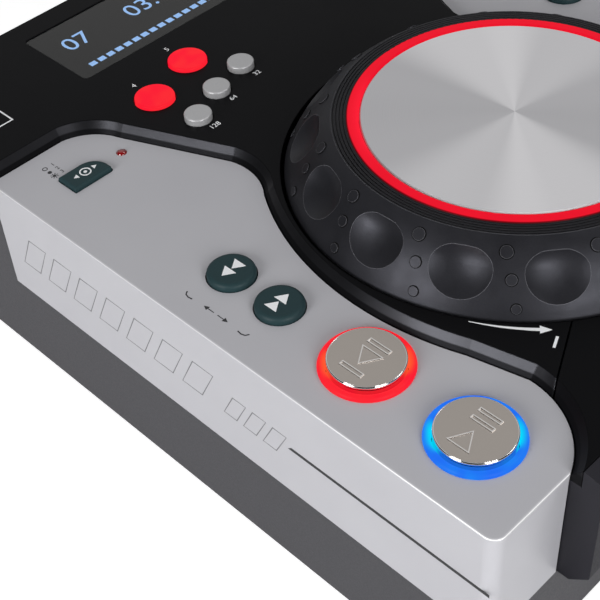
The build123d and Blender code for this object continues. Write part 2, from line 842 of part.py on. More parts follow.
def push_button(name, place, radius, top_z, round_top, stem_bottom_z, under_z):
    """A round push button: head through its hole, narrow stem down to its switch."""
    with BuildPart() as button:
        with BuildSketch(Plane.XY.offset(under_z)):
            with Locations(place):
                Circle(radius)
        extrude(amount=top_z - under_z)
        fillet(button.edges().group_by(Axis.Z)[-1], round_top)
        with BuildSketch(Plane.XY.offset(stem_bottom_z)):
            with Locations(place):
                Circle(min(2.2, radius / 2))
        extrude(amount=under_z - stem_bottom_z)
    write(button, name)


search_top = panel_top_z + search_rise
search_back = (column_x, front_y + search_back_y)
search_forward = (column_x, front_y + search_forward_y)
push_button("search_back_button", search_back, search_radius, search_top, 1.4, stem_z, panel_under_z)
push_button("search_forward_button", search_forward, search_radius, search_top, 1.4, stem_z, panel_under_z)
lock_place = (-column_x, front_y + lock_y)
push_button("tempo_lock_button", lock_place, search_radius, search_top, 1.4, stem_z, panel_under_z)
for k, place in enumerate(beat_places):
    name = f"beat_button_{k + 1}"
    push_button(name, place, beat_radius, fascia_top_z + beat_rise, 0.5, stem_z, fascia_under_z)
for name, place in zip(("loop_in_button", "loop_out_button"), loop_places):
    push_button(name, place, loop_radius, fascia_top_z + loop_rise, 0.6, stem_z, fascia_under_z)
eject_top = fascia_top_z + beat_rise
push_button("eject_button", (eject_x, eject_y), eject_radius, eject_top, 0.7, stem_z, fascia_under_z)

with BuildPart() as jog_mode_button:
    with BuildSketch(Plane.XY.offset(panel_under_z)):
        add(mode_outline())
    extrude(amount=panel_wall + mode_rise)
    fillet(jog_mode_button.edges().group_by(Axis.Z)[-1], 0.9)
    with BuildSketch(Plane.XY.offset(stem_z)):
        with Locations(mode_place):
            Circle(2.2)
    extrude(amount=panel_under_z - stem_z)
write(jog_mode_button, "jog_mode_button")

with BuildPart() as jog_mode_led:
    with BuildSketch(Plane.XY.offset(board_top_z)):
        with Locations(led_place):
            Circle(led_radius)
    extrude(amount=panel_top_z - board_top_z)
    with Locations((led_place[0], led_place[1], panel_top_z)):
        Sphere(led_radius, arc_size1=0)
write(jog_mode_led, "jog_mode_led")

# ---------------------------------------------------------------- boards under the buttons


def switches(places):
    """Square tact switches with their plungers, at these places on a panel board."""
    with BuildPart() as group:
        with BuildSketch(Plane.XY.offset(board_top_z)):
            with Locations(*places):
                Rectangle(switch_size, switch_size)
        extrude(amount=switch_height - 0.8)
        with BuildSketch(Plane.XY.offset(board_top_z)):
            with Locations(*places):
                Circle(1.7)
        extrude(amount=switch_height)
    return group.part


panel_board_width = 34.0
board_edge = inner_half - seat_gap
left_switches = [(column_x, front_y + y) for y in (play_y, cue_y, search_forward_y, search_back_y)]
left_switches.append(mode_place)
with BuildPart() as left_button_board:
    with BuildSketch(Plane.XY.offset(panel_board_z)):
        with Locations((-board_edge + panel_board_width / 2, (ledge_front + ledge_back) / 2)):
            Rectangle(panel_board_width, ledge_back - ledge_front)
        with Locations(led_place):
            Rectangle(8.0, 8.0)
    extrude(amount=board)
    add(switches(left_switches))
write(left_button_board, "left_button_board")

fader_place = (-column_x, front_y + fader_y)
fader_length = 2 * fader_travel + 26
with BuildPart() as right_button_board:
    with BuildSketch(Plane.XY.offset(panel_board_z)):
        with Locations((board_edge - panel_board_width / 2, (ledge_front + ledge_back) / 2)):
            Rectangle(panel_board_width, ledge_back - ledge_front)
    extrude(amount=board)
    add(switches([lock_place]))
write(right_button_board, "right_button_board")

stem_depth = 6.0
with BuildPart() as pitch_fader:
    with BuildSketch(Plane.XY.offset(board_top_z)):
        with Locations(fader_place):
            Rectangle(fader_body_width, fader_length)
    extrude(amount=panel_under_z - board_top_z)
    with BuildSketch(Plane.XY.offset(panel_under_z - stem_depth - 1)):
        with Locations(fader_place):
            Rectangle(fader_slot + 0.6, 2 * fader_travel + fader_stem + 5)
    extrude(amount=stem_depth + 5, mode=Mode.SUBTRACT)
write(pitch_fader, "pitch_fader")

cap_bottom_z = panel_top_z + 0.5
with BuildPart() as pitch_knob:
    with BuildSketch(Plane.XY.offset(cap_bottom_z)):
        with Locations(fader_place):
            Rectangle(fader_cap_width, fader_cap_length)
    extrude(amount=fader_cap_height, taper=6)
    fillet(pitch_knob.edges().group_by(Axis.Z)[-1], fader_cap_round)
    with BuildSketch(Plane.YZ.offset(fader_place[0] - fader_cap_width)):
        with Locations((fader_place[1], cap_bottom_z + fader_cap_height + fader_dish_lift)):
            Circle(fader_dish_radius)
    extrude(amount=2 * fader_cap_width, mode=Mode.SUBTRACT)
    with BuildSketch(Plane.XY.offset(panel_under_z - stem_depth)):
        with Locations(fader_place):
            Rectangle(fader_stem, fader_stem)
    extrude(amount=cap_bottom_z + 1 - panel_under_z + stem_depth)
write(pitch_knob, "pitch_knob")

fascia_board_front = jog_y + tray_outer + 8.0
fascia_board_back = back_y - 9.0
fascia_switches = beat_places + loop_places + [(eject_x, eject_y)]
wing_front = panel_back_y - 3.0
with BuildPart() as fascia_board:
    with BuildSketch(Plane.XY.offset(panel_board_z)):
        with Locations((0, (fascia_board_front + fascia_board_back) / 2)):
            Rectangle(display_width + 4, fascia_board_back - fascia_board_front)
        with Locations((0, (wing_front + 8 + fascia_board_back) / 2)):
            Rectangle(2 * board_edge, fascia_board_back - wing_front - 8)
    extrude(amount=board)
    add(switches(fascia_switches))
    with BuildSketch(Plane.XY.offset(board_top_z)):
        with Locations((knob_x, display_y)):
            Rectangle(12.0, 12.0)
    extrude(amount=6.0)
    with BuildSketch(Plane.XY.offset(panel_board_z + board)):
        with Locations((knob_x, display_y)):
            Circle(knob_shaft + bore_clearance)
    extrude(amount=10, mode=Mode.SUBTRACT)
write(fascia_board, "fascia_board")

with BuildPart() as display_module:
    with BuildSketch(Plane.XY.offset(board_top_z)):
        with Locations((0, display_y)):
            Rectangle(display_width + 4, display_depth + 4)
    extrude(amount=fascia_under_z - board_top_z)
write(display_module, "display_module")

with BuildPart() as display_window:
    with BuildSketch(Plane.XY.offset(fascia_under_z)):
        with Locations((0, display_y)):
            RectangleRounded(display_width - 0.2, display_depth - 0.2, 1.9)
    extrude(amount=window_thickness)
write(display_window, "display_window")

knob_bottom_z = fascia_top_z + 0.5
with BuildPart() as selector_knob:
    with BuildSketch(Plane.XZ.offset(-display_y)):
        with BuildLine():
            Polyline(
                (knob_x, knob_bottom_z),
                (knob_x + knob_radius, knob_bottom_z),
                (knob_x + knob_radius - 0.5, knob_bottom_z + knob_height - 0.8),
                (knob_x + knob_radius - 1.3, knob_bottom_z + knob_height),
                (knob_x, knob_bottom_z + knob_height),
                close=True,
            )
        make_face()
    revolve(axis=Axis((knob_x, display_y, 0), (0, 0, 1)))
    with BuildSketch(Plane.XY.offset(knob_bottom_z + 1)):
        with Locations((knob_x, display_y)):
            with PolarLocations(knob_radius + 0.5, 18):
                Circle(1.0)
    extrude(amount=knob_height, mode=Mode.SUBTRACT)
    with BuildSketch(Plane.XY.offset(board_top_z + 0.3)):
        with Locations((knob_x, display_y)):
            Circle(knob_shaft)
    extrude(amount=knob_bottom_z + 1 - board_top_z - 0.3)
write(selector_knob, "selector_knob")

usb_bottom_z = board_top_z
with BuildPart() as usb_socket:
    with BuildSketch(Plane.XY.offset(usb_bottom_z)):
        with Locations((usb_x, display_y)):
            Rectangle(usb_width, usb_length)
    extrude(amount=fascia_top_z - 0.2 - usb_bottom_z)
    with BuildSketch(Plane.XY.offset(usb_bottom_z + 2)):
        with Locations((usb_x, display_y)):
            Rectangle(usb_width - 2 * usb_wall, usb_length - 2 * usb_wall)
    extrude(amount=fascia_top_z, mode=Mode.SUBTRACT)
    with BuildSketch(Plane.XY.offset(usb_bottom_z + 2)):
        with Locations((usb_x - 0.9, display_y)):
            Rectangle(1.9, usb_length - 2 * usb_wall - 1.6)
    extrude(amount=fascia_top_z - 1.2 - usb_bottom_z - 2)
write(usb_socket, "usb_socket")

# ---------------------------------------------------------------- rear
jack_places = [(-62.0 + jack_pitch * k, jack_z) for k in range(3)]
inlet_x = 66.0
inlet_z = 42.0
power_x = 30.0
power_z = 42.0
power_size = 9.0
with BuildPart() as rear_panel:
    with BuildSketch(Plane.XZ.offset(-back_y)):
        with Locations((0, sum(rear_opening_z) / 2)):
            Rectangle(2 * rear_panel_half - 0.4, rear_opening_z[1] - rear_opening_z[0] + 11.6)
        with Locations(*jack_places):
            Circle(jack_radius + 1.2, mode=Mode.SUBTRACT)
        with Locations((inlet_x, inlet_z)):
            Rectangle(24.0, 12.0, mode=Mode.SUBTRACT)
        with Locations((power_x, power_z)):
            Rectangle(power_size + 0.8, power_size + 0.8, mode=Mode.SUBTRACT)
        with Locations(*rear_screws):
            Circle(screw_radius, mode=Mode.SUBTRACT)
    extrude(amount=rear_sheet)
write(rear_panel, "rear_panel")

inner_rear_y = back_y - rear_sheet
with BuildPart() as audio_jacks:
    with BuildSketch(Plane.XZ.offset(-inner_rear_y)):
        with Locations(*jack_places):
            Rectangle(12.0, 14.0)
    extrude(amount=12)
    with BuildSketch(Plane.XZ.offset(-inner_rear_y)):
        with Locations(*jack_places):
            Circle(jack_radius + 1.1)
    extrude(amount=-rear_sheet - 1.0)
    with BuildSketch(Plane.XZ.offset(-inner_rear_y)):
        with Locations(*jack_places):
            Circle(jack_radius)
    extrude(amount=-rear_sheet - jack_length)
    with BuildSketch(Plane.XZ.offset(-back_y - jack_length)):
        with Locations(*jack_places):
            Circle(jack_radius - 0.6)
            Circle(1.9, mode=Mode.SUBTRACT)
    extrude(amount=7.5, mode=Mode.SUBTRACT)
    with BuildSketch(Plane.XZ.offset(-back_y - jack_length)):
        with Locations(*jack_places):
            Circle(1.6)
    extrude(amount=9, mode=Mode.SUBTRACT)
write(audio_jacks, "audio_jacks")

with BuildPart() as mains_inlet:
    with BuildSketch(Plane.XZ.offset(-back_y)):
        with Locations((inlet_x, inlet_z)):
            RectangleRounded(30.0, 15.0, 2.0)
    extrude(amount=-1.6)
    with BuildSketch(Plane.XZ.offset(-back_y)):
        with Locations((inlet_x, inlet_z)):
            Rectangle(23.6, 11.6)
    extrude(amount=16.0)
    with BuildSketch(Plane.XZ.offset(-back_y - 2)):
        with Locations((inlet_x, inlet_z)):
            SlotOverall(14.0, 8.0)
    extrude(amount=13, mode=Mode.SUBTRACT)
    with BuildSketch(Plane.XZ.offset(-back_y + 1)):
        with Locations((inlet_x - 4.3, inlet_z), (inlet_x + 4.3, inlet_z)):
            Circle(1.2)
    extrude(amount=12)
write(mains_inlet, "mains_inlet")

power_travel = 2.0
with BuildPart() as power_button:
    with BuildSketch(Plane.XZ.offset(-back_y - 3.5)):
        with Locations((power_x, power_z)):
            Rectangle(power_size, power_size)
    extrude(amount=3.5 + rear_sheet + 3)
    fillet(power_button.faces().sort_by(Axis.Y)[-1].edges(), 0.6)
write(power_button, "power_button")

# ---------------------------------------------------------------- boards
board_back = inner_rear_y - 4.0
board_width = 2 * (inner_half - board_side_gap)
with BuildPart() as main_board:
    with BuildSketch(Plane.XY.offset(main_board_z)):
        with Locations((0, (main_board_front + main_board_back) / 2)):
            Rectangle(board_width, main_board_back - main_board_front)
        with Locations(*boss_places):
            Circle(7.5, mode=Mode.SUBTRACT)
    extrude(amount=board)
    with BuildSketch(Plane.XY.offset(main_board_z + board)):
        with Locations((-20, -60)):
            Rectangle(24, 24)
        with Locations((20, -50), (20, -20)):
            Rectangle(12, 20)
        with Locations((-78, -60), (78, -60)):
            Rectangle(6, 34)
    extrude(amount=2.6)
write(main_board, "main_board")

switch_back_y = inner_rear_y - 3.0 - power_travel - 0.4
with BuildPart() as power_board:
    with BuildSketch(Plane.XY.offset(main_board_z)):
        with Locations((0, (power_board_front + board_back) / 2)):
            Rectangle(board_width, board_back - power_board_front)
    extrude(amount=board)
    with BuildSketch(Plane.XY.offset(main_board_z + board)):
        with Locations((62.0, 80.0)):
            Rectangle(44.0, 38.0)
    extrude(amount=34.0)
    with BuildSketch(Plane.XY.offset(main_board_z + board)):
        with Locations((14.0, 74.0), (-8.0, 74.0)):
            Circle(8.0)
    extrude(amount=24.0)
    with BuildSketch(Plane.XY.offset(main_board_z + board)):
        with Locations((power_x, switch_back_y - 8)):
            Rectangle(13.0, 16.0)
    extrude(amount=power_z + 6 - main_board_z - board)
    with BuildSketch(Plane.XY.offset(main_board_z + board)):
        with Locations((-62.0 + jack_pitch, inner_rear_y - 8)):
            Rectangle(3 * jack_pitch, 8.0)
    extrude(amount=jack_z - 7 - main_board_z - board)
write(power_board, "power_board")

# ---------------------------------------------------------------- disc drive
drive_top_of_floor = drive_floor_z + drive_sheet
boss_top_z = case_bottom_z + boss_height
wall_x = drive_half_width - drive_sheet / 2
idler_radius = gear_module * idler_teeth / 2
roller_gear_radius = gear_module * roller_teeth / 2
pinion_radius = gear_module * pinion_teeth / 2
sled_gear_radius = gear_module * sled_teeth / 2
roller_z = disc_z - disc_thickness / 2 - roller_radius
idler_y = roller_y + roller_gear_radius + idler_radius
pinion_y = idler_y + idler_radius + pinion_radius
gear_x = drive_half_width + 0.5
rack_x = rod_x + 6.6
sled_gear_x = rack_x + sled_gear_radius
sled_gear_y = -22.0
sled_z = 38.0
rod_z = sled_z + 3.0


def involute(angle):
    return tan(angle) - angle


def gear_outline(teeth, module, turn):
    """A spur gear's outline: 20 degree involute flanks as chords, with backlash taken off."""
    pitch = module * teeth / 2
    base = pitch * cos(radians(20))
    half = pi / (2 * teeth) - backlash / (2 * pitch) + involute(radians(20))
    points = []
    for k in range(teeth):
        middle = 2 * pi * k / teeth + turn
        flank = []
        for radius in (pitch - 1.25 * module, max(base, pitch - 0.6 * module), pitch, pitch + 0.95 * module):
            spread = half - involute(acos(min(1.0, base / radius)))
            flank.append((radius, spread))
        for radius, spread in flank:
            points.append((radius * cos(middle - spread), radius * sin(middle - spread)))
        for radius, spread in reversed(flank):
            points.append((radius * cos(middle + spread), radius * sin(middle + spread)))
    return points


def gear_face(teeth, turn):
    with BuildSketch(Plane.XY) as face:
        with BuildLine():
            Polyline(*gear_outline(teeth, gear_module, turn), close=True)
        make_face()
    return face.sketch


with BuildPart() as drive_frame:
    with BuildSketch(Plane.XY.offset(drive_floor_z)):
        with Locations((0, (drive_front_y + drive_back_y) / 2)):
            Rectangle(2 * drive_half_width, drive_back_y - drive_front_y)
        with Locations((0, -98.0)):
            Rectangle(96.0, 22.0, mode=Mode.SUBTRACT)
        with Locations((-50.0, -30.0), (56.0, -44.0)):
            Rectangle(26.0, 60.0, mode=Mode.SUBTRACT)
    extrude(amount=drive_sheet)
    with BuildSketch(Plane.XY.offset(drive_top_of_floor)):
        for side in (-1, 1):
            with Locations((side * wall_x, (drive_front_y + drive_back_y) / 2)):
                Rectangle(drive_sheet, drive_back_y - drive_front_y)
    extrude(amount=drive_top_z - drive_top_of_floor)
    with BuildSketch(Plane.XY.offset(drive_top_z - drive_sheet)):
        with Locations((0, drive_back_y - 9)):
            Rectangle(2 * drive_half_width, 18.0)
    extrude(amount=drive_sheet)
    with BuildSketch(Plane.XY.offset(drive_top_of_floor)):
        with Locations(*[(s * rod_x, y) for s in (-1, 1) for y in (-37.0, drive_back_y - 2)]):
            Rectangle(6.0, 3.0)
    extrude(amount=rod_z + 3 - drive_top_of_floor)
    with BuildSketch(Plane.YZ.offset(-drive_half_width - 5)):
        with Locations((roller_y, roller_z)):
            Circle(roller_shaft + bore_clearance)
        with Locations((pinion_y, roller_z)):
            Circle(1.0 + bore_clearance)
    extrude(amount=2 * drive_half_width + 10, mode=Mode.SUBTRACT)
    with BuildSketch(Plane.XZ.offset(40)):
        with Locations((-rod_x, rod_z), (rod_x, rod_z)):
            Circle(rod_radius)
    extrude(amount=-80, mode=Mode.SUBTRACT)
    with BuildSketch(Plane.YZ.offset(drive_half_width)):
        with Locations((idler_y, roller_z)):
            Circle(1.5)
    extrude(amount=gear_width + 1)
write(drive_frame, "drive_frame")

with BuildPart() as drive_dampers:
    with BuildSketch(Plane.XY.offset(boss_top_z)):
        with Locations(*boss_places):
            Circle(6.0)
    extrude(amount=drive_floor_z - boss_top_z)
write(drive_dampers, "drive_dampers")

with BuildPart() as load_roller:
    with BuildSketch(Plane.YZ.offset(-drive_half_width + drive_sheet + 1)):
        with Locations((roller_y, roller_z)):
            Circle(roller_radius)
    extrude(amount=2 * (drive_half_width - drive_sheet - 1))
    with BuildSketch(Plane.YZ.offset(-drive_half_width - 1)):
        with Locations((roller_y, roller_z)):
            Circle(roller_shaft)
    extrude(amount=2 * drive_half_width + 1 + 0.5 + gear_width)
    with BuildSketch(Plane.YZ.offset(gear_x)):
        with Locations((roller_y, roller_z)):
            add(gear_face(roller_teeth, 0))
    extrude(amount=gear_width)
write(load_roller, "load_roller")

with BuildPart() as loader_gear:
    with BuildSketch(Plane.YZ.offset(gear_x)):
        with Locations((idler_y, roller_z)):
            add(gear_face(idler_teeth, pi / idler_teeth + pi))
            Circle(1.5 + bore_clearance, mode=Mode.SUBTRACT)
    extrude(amount=gear_width)
write(loader_gear, "loader_gear")

with BuildPart() as motor_pinion:
    with BuildSketch(Plane.YZ.offset(gear_x)):
        with Locations((pinion_y, roller_z)):
            add(gear_face(pinion_teeth, pi))
    extrude(amount=gear_width)
    with BuildSketch(Plane.YZ.offset(drive_half_width - 14)):
        with Locations((pinion_y, roller_z)):
            Circle(1.0)
    extrude(amount=14.5 + gear_width)
write(motor_pinion, "motor_pinion")

with BuildPart() as loading_motor:
    with BuildSketch(Plane.YZ.offset(drive_half_width - drive_sheet)):
        with Locations((pinion_y, roller_z)):
            Circle(8.0)
    extrude(amount=-22.0)
    with BuildSketch(Plane.YZ.offset(drive_half_width - drive_sheet)):
        with Locations((pinion_y, roller_z)):
            Circle(1.0 + bore_clearance)
    extrude(amount=-14.0, mode=Mode.SUBTRACT)
write(loading_motor, "loading_motor")

with BuildPart() as spindle_motor:
    with BuildSketch(Plane.XY.offset(drive_top_of_floor)):
        with Locations((0, jog_y)):
            Circle(motor_radius)
    extrude(amount=11.0)
    chamfer(spindle_motor.edges().group_by(Axis.Z)[-1], 0.8)
    with BuildSketch(Plane.XY.offset(drive_top_of_floor + 1)):
        with Locations((0, jog_y)):
            Circle(spindle_radius + bore_clearance)
    extrude(amount=20.0, mode=Mode.SUBTRACT)
write(spindle_motor, "spindle_motor")

disc_seat_z = disc_z - disc_thickness / 2
with BuildPart() as turntable:
    with BuildSketch(Plane.XY.offset(disc_seat_z - 2)):
        with Locations((0, jog_y)):
            Circle(turntable_radius)
    extrude(amount=2.0)
    with BuildSketch(Plane.XY.offset(disc_seat_z)):
        with Locations((0, jog_y)):
            Circle(cone_radius)
    extrude(amount=1.0, taper=30)
    with BuildSketch(Plane.XY.offset(drive_top_of_floor + 11.3)):
        with Locations((0, jog_y)):
            Circle(4.0)
    extrude(amount=disc_seat_z - 2 - drive_top_of_floor - 11.3)
    with BuildSketch(Plane.XY.offset(drive_top_of_floor + 1.5)):
        with Locations((0, jog_y)):
            Circle(spindle_radius)
    extrude(amount=11.0)
write(turntable, "turntable")

clamp_seat_z = disc_z + disc_thickness / 2
clamp_bottom_z = clamp_seat_z + clamp_drop + 0.3
arm_z = clamp_bottom_z + 2.4
arm_hinge_y = 12.0
with BuildPart() as disc_clamp:
    with BuildSketch(Plane.XY.offset(clamp_bottom_z)):
        with Locations((0, jog_y)):
            Circle(clamp_radius)
    extrude(amount=2.0)
    with BuildSketch(Plane.XY.offset(clamp_bottom_z)):
        with Locations((0, jog_y)):
            Circle(cone_radius + 1)
    extrude(amount=1.0, mode=Mode.SUBTRACT)
    with BuildSketch(Plane.XY.offset(clamp_bottom_z + 1)):
        with Locations((0, jog_y)):
            Circle(3.0)
    extrude(amount=3.0)
    with BuildSketch(Plane.XY.offset(arm_z + 1.2 + 0.2)):
        with Locations((0, jog_y)):
            Circle(5.0)
    extrude(amount=0.8)
write(disc_clamp, "disc_clamp")

with BuildPart() as clamp_arm:
    with BuildSketch(Plane.XY.offset(arm_z)):
        with BuildLine():
            Polyline(
                (-9, jog_y),
                (-16, arm_hinge_y - 2.2),
                (16, arm_hinge_y - 2.2),
                (9, jog_y),
                close=True,
            )
        make_face()
        with Locations((0, jog_y)):
            Circle(9.0)
            Circle(3.0 + 0.3, mode=Mode.SUBTRACT)
    extrude(amount=1.2)
    with BuildSketch(Plane.YZ.offset(-16)):
        with Locations((arm_hinge_y, arm_z)):
            Circle(1.2)
        with Locations((arm_hinge_y - 2, arm_z + 0.6)):
            Rectangle(4.0, 1.2)
    extrude(amount=32)
write(clamp_arm, "clamp_arm")

with BuildPart() as guide_rods:
    with BuildSketch(Plane.XZ.offset(38.5)):
        with Locations((-rod_x, rod_z), (rod_x, rod_z)):
            Circle(rod_radius)
    extrude(amount=-38.5 - drive_back_y + 0.5)
write(guide_rods, "guide_rods")

rack_low_y = sled_gear_y - 4 - sled_travel
rack_high_y = sled_gear_y + 4
tooth_pitch = pi * gear_module
with BuildPart() as laser_sled:
    with BuildSketch(Plane.XY.offset(sled_z)):
        with Locations((0, sled_start_y)):
            Rectangle(2 * rod_x + 9, 20.0)
    extrude(amount=6.0)
    with BuildSketch(Plane.XY.offset(sled_z + 6)):
        with Locations((0, sled_start_y)):
            Circle(4.0)
    extrude(amount=2.0)
    with BuildSketch(Plane.XZ.offset(60)):
        with Locations((-rod_x, rod_z), (rod_x, rod_z)):
            Circle(rod_radius + bore_clearance)
    extrude(amount=-100, mode=Mode.SUBTRACT)
    with BuildSketch(Plane.XY.offset(sled_z)):
        with BuildLine():
            root_x = rack_x - 1.2 * gear_module
            tip_x = rack_x + 0.95 * gear_module
            tip_half = tooth_pitch / 4 - backlash / 2 - 0.95 * gear_module * tan(radians(20))
            root_half = tooth_pitch / 4 - backlash / 2 + 1.2 * gear_module * tan(radians(20))
            count = int((rack_high_y - rack_low_y) / tooth_pitch)
            teeth_points = [(root_x - 2.4, sled_gear_y + 5), (root_x - 2.4, rack_low_y), (root_x, rack_low_y)]
            for k in range(count, 0, -1):
                middle = sled_gear_y + tooth_pitch * (1.5 - k)
                teeth_points.append((root_x, middle - root_half))
                teeth_points.append((tip_x, middle - tip_half))
                teeth_points.append((tip_x, middle + tip_half))
                teeth_points.append((root_x, middle + root_half))
            teeth_points.append((root_x, sled_gear_y + 5))
            Polyline(*teeth_points, close=True)
        make_face()
    extrude(amount=3.0)
write(laser_sled, "laser_sled")

with BuildPart() as sled_gear:
    with BuildSketch(Plane.XY.offset(sled_z - 0.2)):
        with Locations((sled_gear_x, sled_gear_y)):
            add(gear_face(sled_teeth, pi))
    extrude(amount=3.4)
    with BuildSketch(Plane.XY.offset(drive_top_of_floor + 1.5)):
        with Locations((sled_gear_x, sled_gear_y)):
            Circle(1.0)
    extrude(amount=sled_z - drive_top_of_floor - 1.5)
write(sled_gear, "sled_gear")

with BuildPart() as sled_motor:
    with BuildSketch(Plane.XY.offset(drive_top_of_floor)):
        with Locations((sled_gear_x, sled_gear_y)):
            Circle(8.0)
    extrude(amount=5.5)
    with BuildSketch(Plane.XY.offset(drive_top_of_floor + 1)):
        with Locations((sled_gear_x, sled_gear_y)):
            Circle(1.0 + bore_clearance)
    extrude(amount=10, mode=Mode.SUBTRACT)
write(sled_motor, "sled_motor")
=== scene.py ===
import json
from math import asin, atan2, cos, pi, radians, sin, sqrt

import bmesh
import bpy
from mathutils import Matrix, Vector


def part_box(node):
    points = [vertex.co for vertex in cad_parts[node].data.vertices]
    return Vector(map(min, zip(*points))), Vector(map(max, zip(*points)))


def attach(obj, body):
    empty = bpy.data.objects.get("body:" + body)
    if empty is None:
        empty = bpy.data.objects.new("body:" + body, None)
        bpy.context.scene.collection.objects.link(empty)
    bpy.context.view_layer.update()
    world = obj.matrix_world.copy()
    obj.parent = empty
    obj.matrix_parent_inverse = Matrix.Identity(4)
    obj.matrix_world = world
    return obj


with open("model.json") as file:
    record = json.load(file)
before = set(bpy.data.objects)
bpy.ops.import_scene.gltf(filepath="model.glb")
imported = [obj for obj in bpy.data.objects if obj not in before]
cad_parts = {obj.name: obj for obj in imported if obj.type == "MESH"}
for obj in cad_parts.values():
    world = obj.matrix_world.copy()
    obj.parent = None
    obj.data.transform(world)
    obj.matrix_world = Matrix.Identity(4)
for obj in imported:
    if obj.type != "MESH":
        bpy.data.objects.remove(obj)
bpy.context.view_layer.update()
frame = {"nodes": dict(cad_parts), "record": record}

MM = 0.001

# ---------------------------------------------------------------- places taken from the frame


def middle(node):
    """The middle of a node's box."""
    low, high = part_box(node)
    return (low + high) / 2


def top_of(node):
    """The middle of a node's highest face."""
    low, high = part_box(node)
    return Vector(((low.x + high.x) / 2, (low.y + high.y) / 2, high.z))


panel_low, panel_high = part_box("side_panel_left")
panel_middle = middle("side_panel_left")
panel_top = panel_high.z
wall_x = abs(panel_low.x)
fascia_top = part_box("fascia")[1].z

jog = top_of("platter_disc")
jog_axis = (jog.x, jog.y, 0)
disc_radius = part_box("platter_disc")[1].x
ring_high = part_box("jog_ring")[1]
jog_edge = ring_high.x - jog.x

# The flank of the grip ring is an arc. It leaves the shoulder at this tilt and runs out to the edge.
flank_run = 15.3 * MM
flank_radius = 46.3 * MM
flank_tilt = radians(35.5)
shoulder_radius = jog_edge - flank_run

cue = top_of("cue_button")
play = top_of("play_button")
cap_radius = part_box("cue_button")[1].x - cue.x

# ---------------------------------------------------------------- small node helpers


def feed(tree, socket, value):
    """Links a node's input to another socket, or gives it a number, a vector or a colour."""
    if isinstance(value, bpy.types.NodeSocket):
        tree.links.new(value, socket)
    elif socket.type == "RGBA":
        socket.default_value = (*value, 1)
    else:
        socket.default_value = value


def add_node(tree, kind, inputs, **settings):
    """A new node with these settings and inputs."""
    node = tree.nodes.new(kind)
    for name, value in settings.items():
        setattr(node, name, value)
    for name, value in inputs.items():
        feed(tree, node.inputs[name], value)
    return node


def new_material(name, colour, roughness, metallic=0.0, specular=0.5):
    """A node material with one principled shader. Gives the material, its tree and the shader."""
    material = bpy.data.materials.new(name)
    material.use_nodes = True
    tree = material.node_tree
    shader = tree.nodes["Principled BSDF"]
    feed(tree, shader.inputs["Base Color"], colour)
    feed(tree, shader.inputs["Roughness"], roughness)
    feed(tree, shader.inputs["Metallic"], metallic)
    feed(tree, shader.inputs["Specular IOR Level"], specular)
    return material, tree, shader


def calc(tree, operation, *values):
    """One math node over sockets or plain numbers."""
    node = add_node(tree, "ShaderNodeMath", dict(enumerate(values)), operation=operation)
    return node.outputs[0]


def vector_calc(tree, operation, *values):
    """One vector math node. A length or a dot product comes out as a number."""
    node = add_node(tree, "ShaderNodeVectorMath", dict(enumerate(values)), operation=operation)
    return node.outputs["Value" if operation in ("LENGTH", "DOT_PRODUCT") else "Vector"]


def coordinates(tree, kind="Object"):
    """Texture coordinates of one kind."""
    return tree.nodes.new("ShaderNodeTexCoord").outputs[kind]


def axes_of(tree, vector):
    """The X, Y and Z of a vector."""
    return add_node(tree, "ShaderNodeSeparateXYZ", {0: vector}).outputs


def object_place(tree, centre=(0, 0, 0), stretch=(1, 1, 1)):
    """Object coordinates, measured from a centre and stretched."""
    shifted = vector_calc(tree, "SUBTRACT", coordinates(tree), centre)
    return vector_calc(tree, "MULTIPLY", shifted, stretch)


def place_from_axis(tree, axis):
    """Where a point lies from an upright axis, and how far out it is."""
    flat = object_place(tree, axis, (1, 1, 0))
    return flat, vector_calc(tree, "LENGTH", flat)


def grain(tree, size, detail=3.0, stretch=(1, 1, 1)):
    """Noise whose cells are about this many metres across."""
    inputs = {"Scale": 1 / size, "Detail": detail, "Vector": object_place(tree, stretch=stretch)}
    return add_node(tree, "ShaderNodeTexNoise", inputs).outputs["Fac"]


def spread(tree, source, low, high, bottom, top):
    """Maps a value from low..high to bottom..top, smoothly and clamped."""
    inputs = {"Value": source, "From Min": low, "From Max": high, "To Min": bottom, "To Max": top}
    mapped = add_node(tree, "ShaderNodeMapRange", inputs, interpolation_type="SMOOTHSTEP")
    return mapped.outputs["Result"]


def swing(tree, noise, bottom, top):
    """Carries a grain over a range. Nearly all of the noise lies between 0.3 and 0.7."""
    return spread(tree, noise, 0.3, 0.7, bottom, top)


def blend_colours(tree, factor, first, second):
    """A colour between two, by a factor."""
    inputs = {"Factor": factor, "A": first, "B": second}
    return add_node(tree, "ShaderNodeMix", inputs, data_type="RGBA").outputs["Result"]


def tint(tree, shader, factor, first, second):
    """Colours a shader between two tones, by a factor."""
    feed(tree, shader.inputs["Base Color"], blend_colours(tree, factor, first, second))


def rounded_normal(tree, radius):
    """The normal that edges have when they look rounded by this radius."""
    return add_node(tree, "ShaderNodeBevel", {"Radius": radius}, samples=4).outputs["Normal"]


def relief(tree, shader, height, depth, rounding=0.0):
    """Bump of this depth in metres, over edges that look rounded by this radius."""
    bump = add_node(tree, "ShaderNodeBump", {"Distance": depth, "Height": height})
    if rounding:
        feed(tree, bump.inputs["Normal"], rounded_normal(tree, rounding))
    feed(tree, shader.inputs["Normal"], bump.outputs["Normal"])


def sharp_edge_mask(tree, radius, sharpest=0.7, flattest=0.99):
    """1 along sharp edges, 0 on open faces, by the cosine between the true and the rounded normal."""
    true_normal = tree.nodes.new("ShaderNodeNewGeometry").outputs["Normal"]
    facing = vector_calc(tree, "DOT_PRODUCT", rounded_normal(tree, radius), true_normal)
    return spread(tree, facing, sharpest, flattest, 1.0, 0.0)


# ---------------------------------------------------------------- finishes

